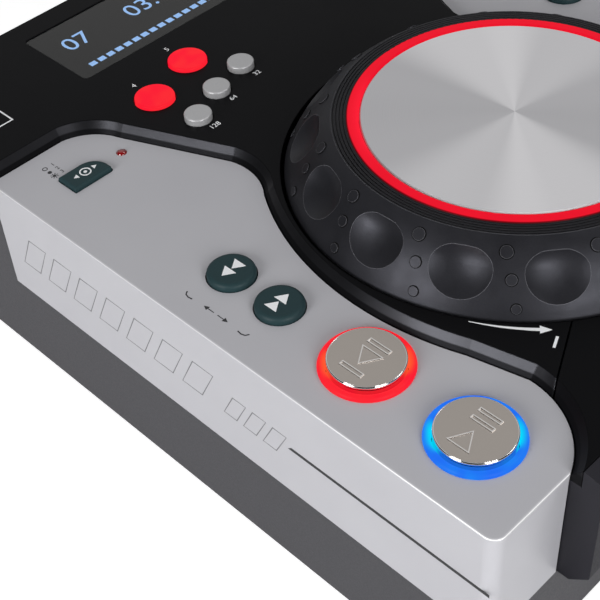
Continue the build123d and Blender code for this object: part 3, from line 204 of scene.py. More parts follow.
WHITE = (1.0, 1.0, 1.0)


def silver_paint():
    """Satin metallic paint: fine flake, soft sheen, and a painted highlight along rounded edges,
    brightest at the front.
    """
    material, tree, shader = new_material("silver_paint", (0.5, 0.5, 0.51), 0.42, 0.15)
    flake = grain(tree, 0.18 * MM, 1.0)
    cloud = grain(tree, 30 * MM, 2.0)
    tone = calc(tree, "MULTIPLY_ADD", flake, 0.25, calc(tree, "MULTIPLY", cloud, 0.5))
    paint = blend_colours(tree, tone, (0.45, 0.447, 0.478), (0.54, 0.537, 0.563))
    upwards = axes_of(tree, coordinates(tree, "Normal"))["Z"]
    # The middle of a rounded edge faces this far upwards.
    edge_upwards = 0.72
    # Painted highlight: rounded edges are lightened towards white, most at the front and less towards the
    # middle.
    lean = calc(tree, "ABSOLUTE", calc(tree, "SUBTRACT", upwards, edge_upwards))
    line = spread(tree, lean, 0.04, 0.2, 1.0, 0.0)
    depth = axes_of(tree, coordinates(tree))["Y"]
    front_highlight, middle_highlight = 0.9, 0.45
    highlight_fade = spread(tree, depth, panel_low.y, panel_middle.y, front_highlight, middle_highlight)
    tint(tree, shader, calc(tree, "MULTIPLY", line, highlight_fade), paint, WHITE)
    relief(tree, shader, flake, 0.006 * MM)
    return material


def satin_black(name, bevel_shine):
    """The black top: satin coat with a very fine grain, glossier on its bevel than above and below."""
    material, tree, shader = new_material(name, (0.004, 0.004, 0.0045), 0.34, 0.0, 0.06)
    feed(tree, shader.inputs["Specular Tint"], (0.88, 0.89, 1.0))
    fine = grain(tree, 0.2 * MM, 2.0)
    feed(tree, shader.inputs["Roughness"], swing(tree, grain(tree, 20 * MM, 2.0), 0.31, 0.37))
    tint(tree, shader, fine, (0.003, 0.003, 0.0035), (0.0055, 0.0055, 0.006))
    rise = fascia_top - panel_top
    height = calc(tree, "SUBTRACT", axes_of(tree, coordinates(tree))["Z"], panel_top)
    bevel_foot = (0.3 * rise, 0.42 * rise)
    bevel_head = (0.93 * rise, 0.98 * rise)
    above_foot = spread(tree, height, *bevel_foot, 0.0, 1.0)
    below_head = spread(tree, height, *bevel_head, 1.0, 0.0)
    on_bevel = calc(tree, "MULTIPLY", above_foot, below_head)
    shine = calc(tree, "MULTIPLY_ADD", on_bevel, bevel_shine, 0.05)
    feed(tree, shader.inputs["Specular IOR Level"], shine)
    relief(tree, shader, fine, 0.01 * MM, 0.5 * MM)
    return material


def moulded_plastic(
    name, colour, roughness=0.5, depth=0.02 * MM, size=0.4 * MM, edge=0.4 * MM, shine=0.4
):
    """Spark-eroded plastic: even grain, slightly paler along sharp edges."""
    material, tree, shader = new_material(name, colour, roughness, 0.0, shine)
    skin = grain(tree, size, 4.0)
    paler_edges = calc(tree, "MULTIPLY", sharp_edge_mask(tree, edge), 0.6)
    paler = [min(1.0, 1.5 * channel + 0.012) for channel in colour]
    tint(tree, shader, calc(tree, "MULTIPLY_ADD", skin, 0.3, paler_edges), colour, paler)
    feed(tree, shader.inputs["Roughness"], swing(tree, skin, roughness - 0.06, roughness + 0.06))
    relief(tree, shader, skin, depth, edge)
    return material


def jog_grip():
    """The grip ring's soft black coat: fine grain, satin sheen, crisp pale edges painted on as glints,
    and a grooved band whose reflections are darkened as painted shade.
    """
    material, tree, shader = new_material("jog_black", (0.008, 0.008, 0.009), 0.36, 0.0, 0.34)
    skin = grain(tree, 0.35 * MM, 5.0)
    patches = grain(tree, 6 * MM, 3.0)
    reach = place_from_axis(tree, jog_axis)[1]
    band_end, flank_start = shoulder_radius - 0.5 * MM, shoulder_radius + 0.3 * MM
    grooved = spread(tree, reach, band_end, flank_start, 1.0, 0.0)
    # Painted highlight: sharp edges of the scoops, grooves and studs are lightened as glints, less so on
    # the grooved band.
    pale = calc(tree, "MULTIPLY_ADD", grooved, -0.6, 0.8)
    paler_edges = calc(tree, "MULTIPLY", sharp_edge_mask(tree, 0.22 * MM, 0.95, 0.996), pale)
    tone = calc(tree, "MULTIPLY_ADD", skin, 0.06, paler_edges)
    tint(tree, shader, tone, (0.006, 0.006, 0.0075), (0.16, 0.16, 0.175))
    feed(tree, shader.inputs["Roughness"], swing(tree, patches, 0.38, 0.46))
    # Painted shade: on the grooved band the reflections are tinted almost black; elsewhere their tint is
    # cool.
    sheen = blend_colours(tree, grooved, (0.86, 0.87, 1.0), (0.09, 0.09, 0.1))
    feed(tree, shader.inputs["Specular Tint"], sheen)
    relief(tree, shader, skin, 0.025 * MM, 0.2 * MM)
    return material


def spun_aluminium():
    """Turned aluminium: fine rings, and two pale wedges painted into its colour as highlights."""
    material, tree, shader = new_material("spun_aluminium", (0.75, 0.75, 0.76), 0.4, 1.0)
    shader.inputs["Anisotropic"].default_value = 0.6
    tangent = add_node(tree, "ShaderNodeTangent", {}, direction_type="RADIAL", axis="Z")
    feed(tree, shader.inputs["Tangent"], tangent.outputs["Tangent"])
    flat, reach = place_from_axis(tree, jog_axis)
    rings_per_metre = 5200
    turning = {"Scale": rings_per_metre, "Detail": 3.0, "W": reach}
    rings = add_node(tree, "ShaderNodeTexNoise", turning, noise_dimensions="1D").outputs["Fac"]
    outwards = vector_calc(tree, "NORMALIZE", flat)
    tone = calc(tree, "MULTIPLY", rings, 0.25)
    # Painted highlights: along these two directions, both ways from the axis, the colour is lightened.
    highlight_fans = ((radians(198), 0.45), (radians(241), 0.75))
    for direction, strength in highlight_fans:
        highlight_fan = (cos(direction), sin(direction), 0)
        along = calc(tree, "ABSOLUTE", vector_calc(tree, "DOT_PRODUCT", outwards, highlight_fan))
        tone = calc(tree, "ADD", tone, spread(tree, along, 0.8, 1.0, 0.0, strength))
    tint(tree, shader, tone, (0.58, 0.575, 0.595), (0.94, 0.93, 0.95))
    relief(tree, shader, rings, 0.004 * MM)
    return material


def satin_nickel():
    """Warm nickel: blasted flat tops, polished bevels and sides."""
    material, tree, shader = new_material("nickel", (0.62, 0.58, 0.54), 0.3, 1.0)
    blasted = grain(tree, 0.15 * MM, 3.0)
    upwards = axes_of(tree, coordinates(tree, "Normal"))["Z"]
    face = spread(tree, upwards, 0.96, 0.995, 0.0, 1.0)
    rough_face = calc(tree, "MULTIPLY", face, calc(tree, "MULTIPLY_ADD", blasted, 0.08, 0.3))
    feed(tree, shader.inputs["Roughness"], calc(tree, "MULTIPLY_ADD", rough_face, 0.9, 0.05))
    tint(tree, shader, face, (0.8, 0.77, 0.74), (0.51, 0.465, 0.425))
    relief(tree, shader, calc(tree, "MULTIPLY", blasted, face), 0.003 * MM)
    return material


def silver_button():
    """Painted silver plastic of the small buttons."""
    material, tree, shader = new_material("silver_button", (0.46, 0.46, 0.47), 0.38, 0.4)
    flake = grain(tree, 0.2 * MM, 2.0)
    tint(tree, shader, flake, (0.4, 0.4, 0.41), (0.55, 0.55, 0.56))
    relief(tree, shader, flake, 0.01 * MM, 0.4 * MM)
    return material


def key_rubber():
    """Dark teal silicone of the search and mode keys."""
    material, tree, shader = new_material("button_rubber", (0.014, 0.035, 0.04), 0.5, 0.0, 0.2)
    skin = grain(tree, 0.3 * MM, 4.0)
    tint(tree, shader, skin, (0.011, 0.029, 0.033), (0.019, 0.045, 0.05))
    relief(tree, shader, skin, 0.015 * MM, 0.4 * MM)
    return material


def lit_ring(name, centre, inner, width, body, rim, hot, lit_width=1.0):
    """A lit translucent ring. Near its inner edge, on its two sides along the x = -y diagonal, hot spots
    of a hotter colour are painted in as highlights.

    Beyond the lit width its outer edge is only faintly lit. Unless it is given, all of the ring is lit.
    """
    material, tree, shader = new_material(name, body, 0.4, 0.0, 0.05)
    flat, reach = place_from_axis(tree, centre)
    axes = axes_of(tree, flat)
    # Painted highlights: hot spots on the two sides along the x = -y diagonal, near the inner edge.
    across = calc(tree, "ABSOLUTE", calc(tree, "SUBTRACT", axes["X"], axes["Y"]))
    turned = calc(tree, "DIVIDE", across, calc(tree, "MULTIPLY", reach, sqrt(2)))
    painted_spot_sides = spread(tree, turned, 0.86, 1.0, 0.0, 1.0)
    near = spread(tree, reach, inner, inner + width, 1.0, 0.0)
    spots = calc(tree, "MULTIPLY", painted_spot_sides, near)
    haze = swing(tree, grain(tree, 6 * MM, 1.0), 0.0, 0.12)
    glow = blend_colours(tree, calc(tree, "ADD", spots, haze), rim, hot)
    feed(tree, shader.inputs["Emission Color"], glow)
    fade_start = inner + lit_width
    fade_end = fade_start + 0.5 * MM
    feed(tree, shader.inputs["Emission Strength"], spread(tree, reach, fade_start, fade_end, 1.0, 0.08))
    return material


def clear_lens():
    """The small red indicator: clear tinted resin."""
    material, tree, shader = new_material("led_lens", (0.2, 0.004, 0.006), 0.06, 0.0, 0.7)
    tint(tree, shader, grain(tree, 1 * MM, 1.0), (0.14, 0.003, 0.004), (0.28, 0.006, 0.008))
    shader.inputs["Coat Weight"].default_value = 1.0
    return material


def smoked_window():
    """Smoked clear acrylic over the display."""
    material, tree, shader = new_material("dark_glass", (0.25, 0.26, 0.28), 0.03, 0.0, 0.5)
    shader.inputs["Transmission Weight"].default_value = 1.0
    shader.inputs["IOR"].default_value = 1.49
    smear = grain(tree, 12 * MM, 3.0)
    feed(tree, shader.inputs["Roughness"], swing(tree, smear, 0.02, 0.06))
    return material


def plated_metal(name, colour, roughness):
    """Plated or turned metal with faint handling marks."""
    material, tree, shader = new_material(name, colour, roughness, 1.0)
    marks = grain(tree, 4 * MM, 4.0)
    feed(tree, shader.inputs["Roughness"], swing(tree, marks, roughness - 0.05, roughness + 0.1))
    relief(tree, shader, marks, 0.005 * MM)
    return material


def solder_mask():
    """Green boards."""
    material, tree, shader = new_material("circuit_board", (0.01, 0.1, 0.04), 0.35)
    weave = grain(tree, 1.5 * MM, 2.0, stretch=(1, 0.2, 1))
    tint(tree, shader, weave, (0.008, 0.08, 0.03), (0.015, 0.13, 0.05))
    return material


def printed_ink(name, colour):
    """Screen-printed ink with slightly uneven cover."""
    material, tree, shader = new_material(name, colour, 0.55, 0.0, 0.3)
    thin = [channel * 0.88 for channel in colour]
    tint(tree, shader, grain(tree, 0.3 * MM, 2.0), thin, colour)
    return material


def lit_ink(name, colour, strength):
    """A lit mark of the display."""
    material, tree, shader = new_material(name, colour, 0.4)
    flicker = swing(tree, grain(tree, 2 * MM, 1.0), 0.85, 1.0)
    dim = [channel * 0.8 for channel in colour]
    feed(tree, shader.inputs["Emission Color"], blend_colours(tree, flicker, dim, colour))
    shader.inputs["Emission Strength"].default_value = strength
    return material


# Glow colours of the lit rings. ORANGE and CYAN, and RED on the platter light, colour the painted
# hot-spot highlights.
RED = (0.95, 0.008, 0.03)
DEEP_RED = (0.8, 0.004, 0.02)
ORANGE = (1.0, 0.1, 0.03)
BLUE = (0.014, 0.15, 0.88)
CYAN = (0.0, 0.7, 0.95)
RED_RESIN = (0.03, 0.001, 0.002)
BLUE_RESIN = (0.001, 0.006, 0.03)
glow_margin = 1.6 * MM
glow_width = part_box("cue_light_ring")[1].x - cue.x - cap_radius - glow_margin

finishes = {
    "silver_paint": silver_paint(),
    "black_fascia": satin_black("black_fascia", 0.3),
    "charcoal_plastic": moulded_plastic("charcoal_plastic", (0.041, 0.04, 0.046)),
    "jog_black": jog_grip(),
    "spun_aluminium": spun_aluminium(),
    "red_light": lit_ring("red_light", cue, cap_radius, glow_width, RED_RESIN, RED, ORANGE),
    "blue_light": lit_ring("blue_light", play, cap_radius, glow_width, BLUE_RESIN, BLUE, CYAN),
    "nickel": satin_nickel(),
    "button_rubber": key_rubber(),
    "knob_black": moulded_plastic("knob_black", (0.018, 0.018, 0.019), 0.42),
    "dark_glass": smoked_window(),
    "base_steel": moulded_plastic("base_steel", (0.03, 0.03, 0.031), 0.45, 0.01 * MM, 0.6 * MM),
    "black_plastic": moulded_plastic("black_plastic", (0.02, 0.02, 0.02), 0.5),
    "foot_rubber": moulded_plastic("foot_rubber", (0.015, 0.015, 0.015), 0.75, 0.03 * MM),
    "plated_steel": plated_metal("plated_steel", (0.68, 0.68, 0.67), 0.25),
    "bronze": plated_metal("bronze", (0.55, 0.38, 0.2), 0.4),
    "circuit_board": solder_mask(),
    "gear_plastic": moulded_plastic("gear_plastic", (0.72, 0.71, 0.66), 0.4),
}
platter_glow = lit_ring(
    "platter_glow", jog, disc_radius, 4 * MM, RED_RESIN, DEEP_RED, RED, lit_width=3.4 * MM
)
node_finishes = {
    "nose_cover": satin_black("black_nose", 0.06),
    "platter_light": platter_glow,
    "jog_mode_led": clear_lens(),
    "slot_bezel": moulded_plastic("bezel_plastic", (0.015, 0.0145, 0.019), shine=0.15),
    "jog_base": moulded_plastic("tray_plastic", (0.006, 0.006, 0.007), shine=0.1),
}
small_silver = silver_button()
for k in range(3):
    node_finishes[f"beat_button_{k + 1}"] = small_silver

for subpart in frame["record"]["subparts"]:
    node = frame["nodes"][subpart["node"]]
    node.data.materials.clear()
    node.data.materials.append(node_finishes.get(subpart["node"], finishes[subpart["material_slot"]]))

white_ink = printed_ink("white_ink", (0.93, 0.94, 0.96))
dark_ink = printed_ink("dark_ink", (0.035, 0.035, 0.038))
line_ink = printed_ink("line_ink", (0.2, 0.2, 0.21))
red_ink = printed_ink("red_ink", (0.5, 0.03, 0.03))
amber_ink = printed_ink("amber_ink", (0.75, 0.3, 0.03))
# Painted shadow: the near-black of the thin rings round the jog wheel's studs.
stud_shadow_black = moulded_plastic("stud_shadow_black", (0.003, 0.003, 0.003), 0.5, shine=0.05)
display_ink = lit_ink("display_ink", (0.35, 0.6, 1.0), 1.2)
cap_rib = plated_metal("cap_rib", (0.85, 0.82, 0.8), 0.12)
mirror_metal = plated_metal("mirror_metal", (0.85, 0.84, 0.83), 0.08)

# ---------------------------------------------------------------- places and outlines of prints

# How thick ink stands, and how high a digit is as a share of its font size.
INK = 0.04 * MM
DIGIT_SHARE = 0.7


def on_top(place, turn=0.0):
    """A flat frame at this place, u along +X turned by an angle, v along +Y, facing up."""
    return Matrix.Translation(place) @ Matrix.Rotation(turn, 4, "Z")


def on_side(place, facing):
    """A flat frame on a side wall: facing -1 is the left wall, +1 the right; u runs with the reader."""
    turned = Matrix(((0, 0, facing), (facing, 0, 0), (0, 1, 0))).to_4x4()
    return Matrix.Translation(place) @ turned


def on_back(place):
    """A flat frame on the rear, as someone behind the player reads it."""
    turned = Matrix(((-1, 0, 0), (0, 0, 1), (0, 1, 0))).to_4x4()
    return Matrix.Translation(place) @ turned


def circle(radius, count=48):
    """Points round a circle."""
    turns = [2 * pi * k / count for k in range(count)]
    return [(radius * cos(turn), radius * sin(turn)) for turn in turns]


def arc(radius, first, last, count, drift=0.0):
    """Points along an arc, in degrees, whose radius may drift outwards."""
    points = []
    for k in range(count):
        share = k / (count - 1)
        turn = radians(first + (last - first) * share)
        reach = radius + drift * share
        points.append((reach * cos(turn), reach * sin(turn)))
    return points


def triangle(tip, base, half):
    """A triangle pointing from its base at u = base to its tip at u = tip."""
    points = [(base, half), (base, -half), (tip, 0)]
    return points if tip > base else [points[1], points[0], points[2]]


def box_outline(left, right, low, high):
    """The four corners of a box."""
    return [(left, low), (right, low), (right, high), (left, high)]


def bar_across(start, end, width):
    """A bar along u."""
    return box_outline(start, end, -width / 2, width / 2)


def bar_up(start, end, width):
    """A bar along v."""
    return box_outline(-width / 2, width / 2, start, end)


def drawn_in(outline, width):
    """The same outline drawn in by a width, mitred at its corners."""
    count = len(outline)
    sharpest_mitre = 0.3
    inner = []
    for k in range(count):
        before, here, after = (Vector(outline[j % count]) for j in (k - 1, k, k + 1))
        along_first = (here - before).normalized()
        along_second = (after - here).normalized()
        first = Vector((-along_first.y, along_first.x))
        second = Vector((-along_second.y, along_second.x))
        normal = (first + second).normalized()
        inner.append(tuple(here + normal * width / max(sharpest_mitre, normal.dot(first))))
    return inner


def tapered_line(points, start, end):
    """Two lines either side of a centreline, start to end wide."""
    left, right = [], []
    last = len(points) - 1
    for k, point in enumerate(points):
        along = (Vector(points[min(last, k + 1)]) - Vector(points[max(0, k - 1)])).normalized()
        half = Vector((-along.y, along.x)) * (start + (end - start) * k / last) / 2
        left.append(tuple(Vector(point) + half))
        right.append(tuple(Vector(point) - half))
    return left, right


# ---------------------------------------------------------------- pieces made of outlines


def slab(mesh, outline, place, thickness=INK):
    """Adds a thin closed slab with this outline (u, v in metres) to a mesh."""
    foot = [mesh.verts.new(place @ Vector((u, v, 0))) for u, v in outline]
    head = [mesh.verts.new(place @ Vector((u, v, thickness))) for u, v in outline]
    mesh.faces.new(head)
    mesh.faces.new(list(reversed(foot)))
    count = len(outline)
    for k in range(count):
        mesh.faces.new((foot[k], foot[(k + 1) % count], head[(k + 1) % count], head[k]))


def band(mesh, inner, outer, place, thickness=INK, closed=True):
    """Adds a flat band between two lines with the same number of points."""
    count = len(inner)
    rows = []
    for line, height in ((inner, 0), (outer, 0), (outer, thickness), (inner, thickness)):
        rows.append([mesh.verts.new(place @ Vector((u, v, height))) for u, v in line])
    for k in range(count if closed else count - 1):
        after = (k + 1) % count
        for side in range(4):
            low, high = rows[side], rows[(side + 1) % 4]
            mesh.faces.new((low[k], low[after], high[after], high[k]))
    if not closed:
        mesh.faces.new([row[0] for row in rows])
        mesh.faces.new([row[-1] for row in reversed(rows)])


def ruled_outline(mesh, outline, width, place, thickness=INK):
    """Adds a line of this width just inside an outline."""
    band(mesh, drawn_in(outline, width), outline, place, thickness)


def sign_bars(mesh, reach, width, place, plus):
    """Adds a minus sign, or a plus sign, that reaches this far from its middle."""
    slab(mesh, bar_across(-reach, reach, width), place)
    if plus:
        slab(mesh, bar_up(width / 2, reach, width), place)
        slab(mesh, bar_up(-reach, -width / 2, width), place)


def seated(name, data, body):
    """Makes a mesh a piece that rides on a body."""
    made = bpy.data.objects.new(name, data)
    bpy.context.scene.collection.objects.link(made)
    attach(made, body)
    return made


def piece(name, mesh, material, body):
    """Turns a bmesh into a finished piece that rides on a body."""
    bmesh.ops.recalc_face_normals(mesh, faces=mesh.faces)
    data = bpy.data.meshes.new(name)
    mesh.to_mesh(data)
    mesh.free()
    data.materials.append(material)
    return seated(name, data, body)


def numeral(text, height, place, name, material, body):
    """A plain numeral, as thin raised ink."""
    curve = bpy.data.curves.new(name, "FONT")
    curve.body = text
    curve.size = height / DIGIT_SHARE
    curve.extrude = INK
    curve.align_x = "CENTER"
    curve.align_y = "CENTER"
    curve.resolution_u = 4
    text_object = bpy.data.objects.new(name, curve)
    bpy.context.scene.collection.objects.link(text_object)
    bpy.context.view_layer.update()
    data = bpy.data.meshes.new_from_object(text_object)
    bpy.data.objects.remove(text_object)
    data.transform(place)
    data.materials.clear()
    data.materials.append(material)
    return seated(name, data, body)


# ---------------------------------------------------------------- marks on the keys


def polished_rim(node, body):
    """The cap's turned lip: a small rounded band that the bevel carries, polished like a mirror."""
    top = top_of(node)
    lip_start = cap_radius - 0.4 * MM
    # The lip's section, in millimetres out from its start and up from the cap's face.
    lip = [(0, -0.02), (0.14, 0.0), (0.3, -0.1), (0.42, -0.3), (0.46, -0.6), (0.46, -1.2), (0.1, -1.25)]
    segments = 96
    mesh = bmesh.new()
    rings = []
    for out, rise in lip:
        line = circle(lip_start + out * MM, segments)
        rings.append([mesh.verts.new(top + Vector((u, v, rise * MM))) for u, v in line])
    for low, high in zip(rings, rings[1:] + rings[:1]):
        for k in range(segments):
            after = (k + 1) % segments
            mesh.faces.new((low[k], low[after], high[after], high[k]))
    rim = piece(f"{node}_rim", mesh, mirror_metal, body)
    for face in rim.data.polygons:
        face.use_smooth = True


def search_marks(node, body, direction):
    """Two solid arrowheads on a search key."""
    place = on_top(top_of(node))
    half_length = direction * 1.8 * MM
    mesh = bmesh.new()
    for shift in (-2.0 * MM, 2.0 * MM):
        slab(mesh, triangle(shift + half_length, shift - half_length, 2.4 * MM), place)
    piece(f"{node}_marks", mesh, white_ink, body)


def cap_symbols(node, body, outlines):
    """Embossed outline symbols on a metal cap, given in millimetres."""
    place = on_top(top_of(node))
    rib_width, rib_height = 0.34 * MM, 0.22 * MM
    mesh = bmesh.new()
    for outline in outlines:
        ruled_outline(mesh, [(u * MM, v * MM) for u, v in outline], rib_width, place, rib_height)
    piece(f"{node}_symbol", mesh, cap_rib, body)


def mode_key_mark():
    """A ring, a dot and two arrowheads on the jog mode key."""
    place = on_top(top_of("jog_mode_button"))
    mesh = bmesh.new()
    band(mesh, circle(1.55 * MM), circle(2.0 * MM), place)
    slab(mesh, circle(0.6 * MM), place)
    for side in (-1, 1):
        slab(mesh, triangle(side * 4.6 * MM, side * 3.0 * MM, 1.0 * MM), place)
    piece("jog_mode_mark", mesh, white_ink, "jog_mode_key")


def eject_mark():
    """A triangle over a bar on the eject button."""
    place = on_top(top_of("eject_button"), pi / 2)
    half_width = 2.4 * MM
    mesh = bmesh.new()
    slab(mesh, triangle(2.6 * MM, -0.6 * MM, half_width), place)
    slab(mesh, bar_across(-2.4 * MM, -1.4 * MM, 2 * half_width), place)
    piece("eject_mark", mesh, white_ink, "eject_key")


def power_mark():
    """An open ring with a bar on the power button."""
    spot = middle("power_button")
    place = on_back(Vector((spot.x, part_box("power_button")[1].y, spot.z)))
    inner, outer = (arc(radius * MM, first=120, last=420, count=25) for radius in (1.9, 2.4))
    mesh = bmesh.new()
    band(mesh, inner, outer, place, closed=False)
    slab(mesh, bar_up(0.9 * MM, 3.0 * MM, 0.5 * MM), place)
    piece("power_mark", mesh, white_ink, "power_key")


def knob_line():
    """The white index line of the selector knob."""
    mesh = bmesh.new()
    slab(mesh, bar_up(3.5 * MM, 8.8 * MM, 1.0 * MM), on_top(top_of("selector_knob")))
    piece("selector_line", mesh, white_ink, "selector")


def lock_mark():
    """A small ring on the tempo lock key."""
    mesh = bmesh.new()
    band(mesh, circle(2.2 * MM), circle(2.8 * MM), on_top(top_of("tempo_lock_button")))
    piece("tempo_lock_mark", mesh, white_ink, "tempo_lock_key")


# ---------------------------------------------------------------- prints on the case


def mode_legend():
    """Open circle, dot and starburst with plain numerals, behind the jog mode key."""
    key = middle("jog_mode_button")
    left = key.x - 6.9 * MM
    rows = [key.y + rise * MM for rise in (12.8, 10.2, 7.7)]
    open_place, dot_place, burst_place = (on_top(Vector((left, row, panel_top))) for row in rows)
    rays = 8
    mesh = bmesh.new()
    band(mesh, circle(0.62 * MM), circle(0.92 * MM), open_place)
    slab(mesh, circle(0.72 * MM), dot_place)
    slab(mesh, circle(0.6 * MM), burst_place)
    for k in range(rays):
        turned = burst_place @ Matrix.Rotation(2 * pi * k / rays, 4, "Z")
        slab(mesh, bar_across(0.75 * MM, 1.35 * MM, 0.24 * MM), turned)
    piece("jog_mode_legend", mesh, dark_ink, "case")
    for k, row in enumerate(rows):
        place = on_top(Vector((left + 3.2 * MM, row, panel_top)))
        numeral(str(k + 1), 1.6 * MM, place, f"mode_numeral_{k + 1}", dark_ink, "case")


def search_brackets():
    """Two short curved hooks beside the search keys, with a fine double arrow between them."""
    back, forward = middle("search_back_button"), middle("search_forward_button")
    place = on_top(Vector((back.x - 13.5 * MM, (back.y + forward.y) / 2 + 1.6 * MM, panel_top)))
    arrow_place = place @ Matrix.Translation((-0.7 * MM, 0, 0))
    hook = [(0.1, 13.1), (-1.0, 12.4), (-1.35, 11.1), (-1.15, 9.6)]
    hook_width = 0.4 * MM
    shaft_end = 3.3 * MM
    mesh = bmesh.new()
    for side in (-1, 1):
        line = [(u * MM, side * v * MM) for u, v in hook]
        band(mesh, *tapered_line(line, hook_width, hook_width), place, closed=False)
        turned = arrow_place @ Matrix.Rotation(side * pi / 2, 4, "Z")
        slab(mesh, triangle(5.0 * MM, shaft_end, 0.8 * MM), turned)
        slab(mesh, bar_across(0.8 * MM, shaft_end, 0.28 * MM), turned)
    piece("search_brackets", mesh, dark_ink, "case")


def direction_arrows():
    """Curved arrows beside the jog wheel with a minus and a plus sign."""
    place = on_top(Vector((jog.x, jog.y, fascia_top)))
    sweep = arc(73.5 * MM, first=209, last=224, count=16, drift=1.4 * MM)
    tail_width, neck_width = 0.18 * MM, 1.15 * MM
    sign_out, sign_forward = 54.8 * MM, 58.0 * MM
    seam_angle = radians(24)
    for side, name in ((-1, "minus"), (1, "plus")):
        line = [(-side * u, v) for u, v in sweep]
        before, tip = Vector(line[-2]), Vector(line[-1])
        along = tip - before
        head = place @ Matrix.Translation((*tip, 0)) @ Matrix.Rotation(atan2(along.y, along.x), 4, "Z")
        sign = on_top(Vector((side * sign_out, jog.y - sign_forward, fascia_top)), -side * seam_angle)
        mesh = bmesh.new()
        band(mesh, *tapered_line(line, tail_width, neck_width), place, closed=False)
        slab(mesh, triangle(3.4 * MM, 0, 1.5 * MM), head)
        sign_bars(mesh, 2.2 * MM, 0.8 * MM, sign, plus=side > 0)
        piece(f"direction_arrow_{name}", mesh, white_ink, "case")


def socket_frame():
    """A fine white frame round the memory socket's well."""
    socket = middle("usb_socket")
    outline = box_outline(-8.6 * MM, 8.2 * MM, -17.4 * MM, 17.4 * MM)
    mesh = bmesh.new()
    ruled_outline(mesh, outline, 0.55 * MM, on_top(Vector((socket.x, socket.y, fascia_top))))
    piece("socket_frame", mesh, white_ink, "case")


def button_numerals():
    """Plain numerals in front of the small silver buttons and behind the two lit ones."""
    for k, label in enumerate(("128", "64", "32")):
        spot = middle(f"beat_button_{k + 1}")
        place = on_top(Vector((spot.x + 0.8 * MM, spot.y - 7.3 * MM, fascia_top)))
        numeral(label, 2.0 * MM, place, f"beat_numeral_{k + 1}", white_ink, "case")
    for k, node in enumerate(("loop_in_button", "loop_out_button")):
        spot = middle(node)
        place = on_top(Vector((spot.x, spot.y + 11.0 * MM, fascia_top)))
        numeral(str(k + 4), 2.2 * MM, place, f"loop_numeral_{k + 1}", white_ink, "case")


def rear_marks():
    """A coloured collar on the panel round each jack, a frame round the mains inlet, plain numerals."""
    panel_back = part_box("rear_panel")[1].y
    jacks_low, jacks_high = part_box("audio_jacks")
    jack_radius = (jacks_high.z - jacks_low.z) / 2
    inks = (white_ink, red_ink, amber_ink)
    step = (jacks_high.x - jacks_low.x - 2 * jack_radius) / (len(inks) - 1)
    for k, ink in enumerate(inks):
        across = jacks_high.x - jack_radius - k * step
        spot = Vector((across, panel_back, jacks_low.z + jack_radius))
        mesh = bmesh.new()
        band(mesh, circle(jack_radius + 0.5 * MM), circle(jack_radius + 1.2 * MM), on_back(spot))
        piece(f"jack_collar_{k + 1}", mesh, ink, "case")
        above = on_back(spot + Vector((0, 0, jack_radius + 3.2 * MM)))
        numeral(str(k + 1), 2.4 * MM, above, f"jack_numeral_{k + 1}", white_ink, "case")
    inlet_low, inlet_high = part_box("mains_inlet")
    inlet = (inlet_low + inlet_high) / 2
    half = (inlet_high - inlet_low) / 2 + Vector((3 * MM, 0, 3 * MM))
    mesh = bmesh.new()
    outline = box_outline(-half.x, half.x, -half.z, half.z)
    ruled_outline(mesh, outline, 0.5 * MM, on_back(Vector((inlet.x, panel_back, inlet.z))))
    piece("inlet_frame", mesh, white_ink, "case")


play_symbol = [
    triangle(-0.7, -7.4, 3.75),
    box_outline(1.9, 3.4, -3.7, 3.7),
    box_outline(5.1, 6.6, -3.7, 3.7),
]
cue_symbol = [
    box_outline(-6.9, -5.2, -3.9, 3.9),
    triangle(-3.6, 2.6, 3.9),
    box_outline(4.3, 6.0, -3.9, 3.9),
]

polished_rim("cue_button", "cue_key")
polished_rim("play_button", "play_key")
search_marks("search_back_button", "search_back_key", -1)
search_marks("search_forward_button", "search_forward_key", 1)
cap_symbols("play_button", "play_key", play_symbol)
cap_symbols("cue_button", "cue_key", cue_symbol)
mode_legend()
mode_key_mark()
search_brackets()
direction_arrows()
socket_frame()
button_numerals()
eject_mark()
power_mark()
knob_line()
lock_mark()
rear_marks()

# ---------------------------------------------------------------- repeated marks, by geometry nodes


def tree_input(tree, name, kind, value=None):
    """Adds a named input to a geometry tree and gives its identifier."""
    socket = tree.interface.new_socket(name, in_out="INPUT", socket_type=kind)
    if value is not None:
        socket.default_value = value
    return socket.identifier


def new_rule(name, count, measures):
    """A geometry tree whose inputs are a count, these measures and a material.

    Gives the tree, what its inputs bring in, and their identifiers by plain name.
    """
    tree = bpy.data.node_groups.new(name, "GeometryNodeTree")
    tree.interface.new_socket("Geometry", in_out="OUTPUT", socket_type="NodeSocketGeometry")
    ids = {"count": tree_input(tree, "Count", "NodeSocketInt", count)}
    for label, value in measures.items():
        ids[label] = tree_input(tree, label.capitalize(), "NodeSocketFloat", value)
    ids["material"] = tree_input(tree, "Material", "NodeSocketMaterial")
    return tree, tree.nodes.new("NodeGroupInput").outputs, ids


def vector_of(tree, **parts):
    """A vector of X, Y and Z, which are 0 where they aren't given."""
    return add_node(tree, "ShaderNodeCombineXYZ", parts).outputs[0]


def points_in_row(tree, given):
    """As many points as the count, one step apart."""
    inputs = {"Count": given["Count"], "Offset": vector_of(tree, X=given["Step"])}
    return add_node(tree, "GeometryNodeMeshLine", inputs).outputs["Mesh"]


def swept(tree, line, section):
    """A section carried along a line."""
    inputs = {"Curve": line.outputs["Curve"], "Profile Curve": section.outputs["Curve"]}
    return add_node(tree, "GeometryNodeCurveToMesh", inputs).outputs["Mesh"]


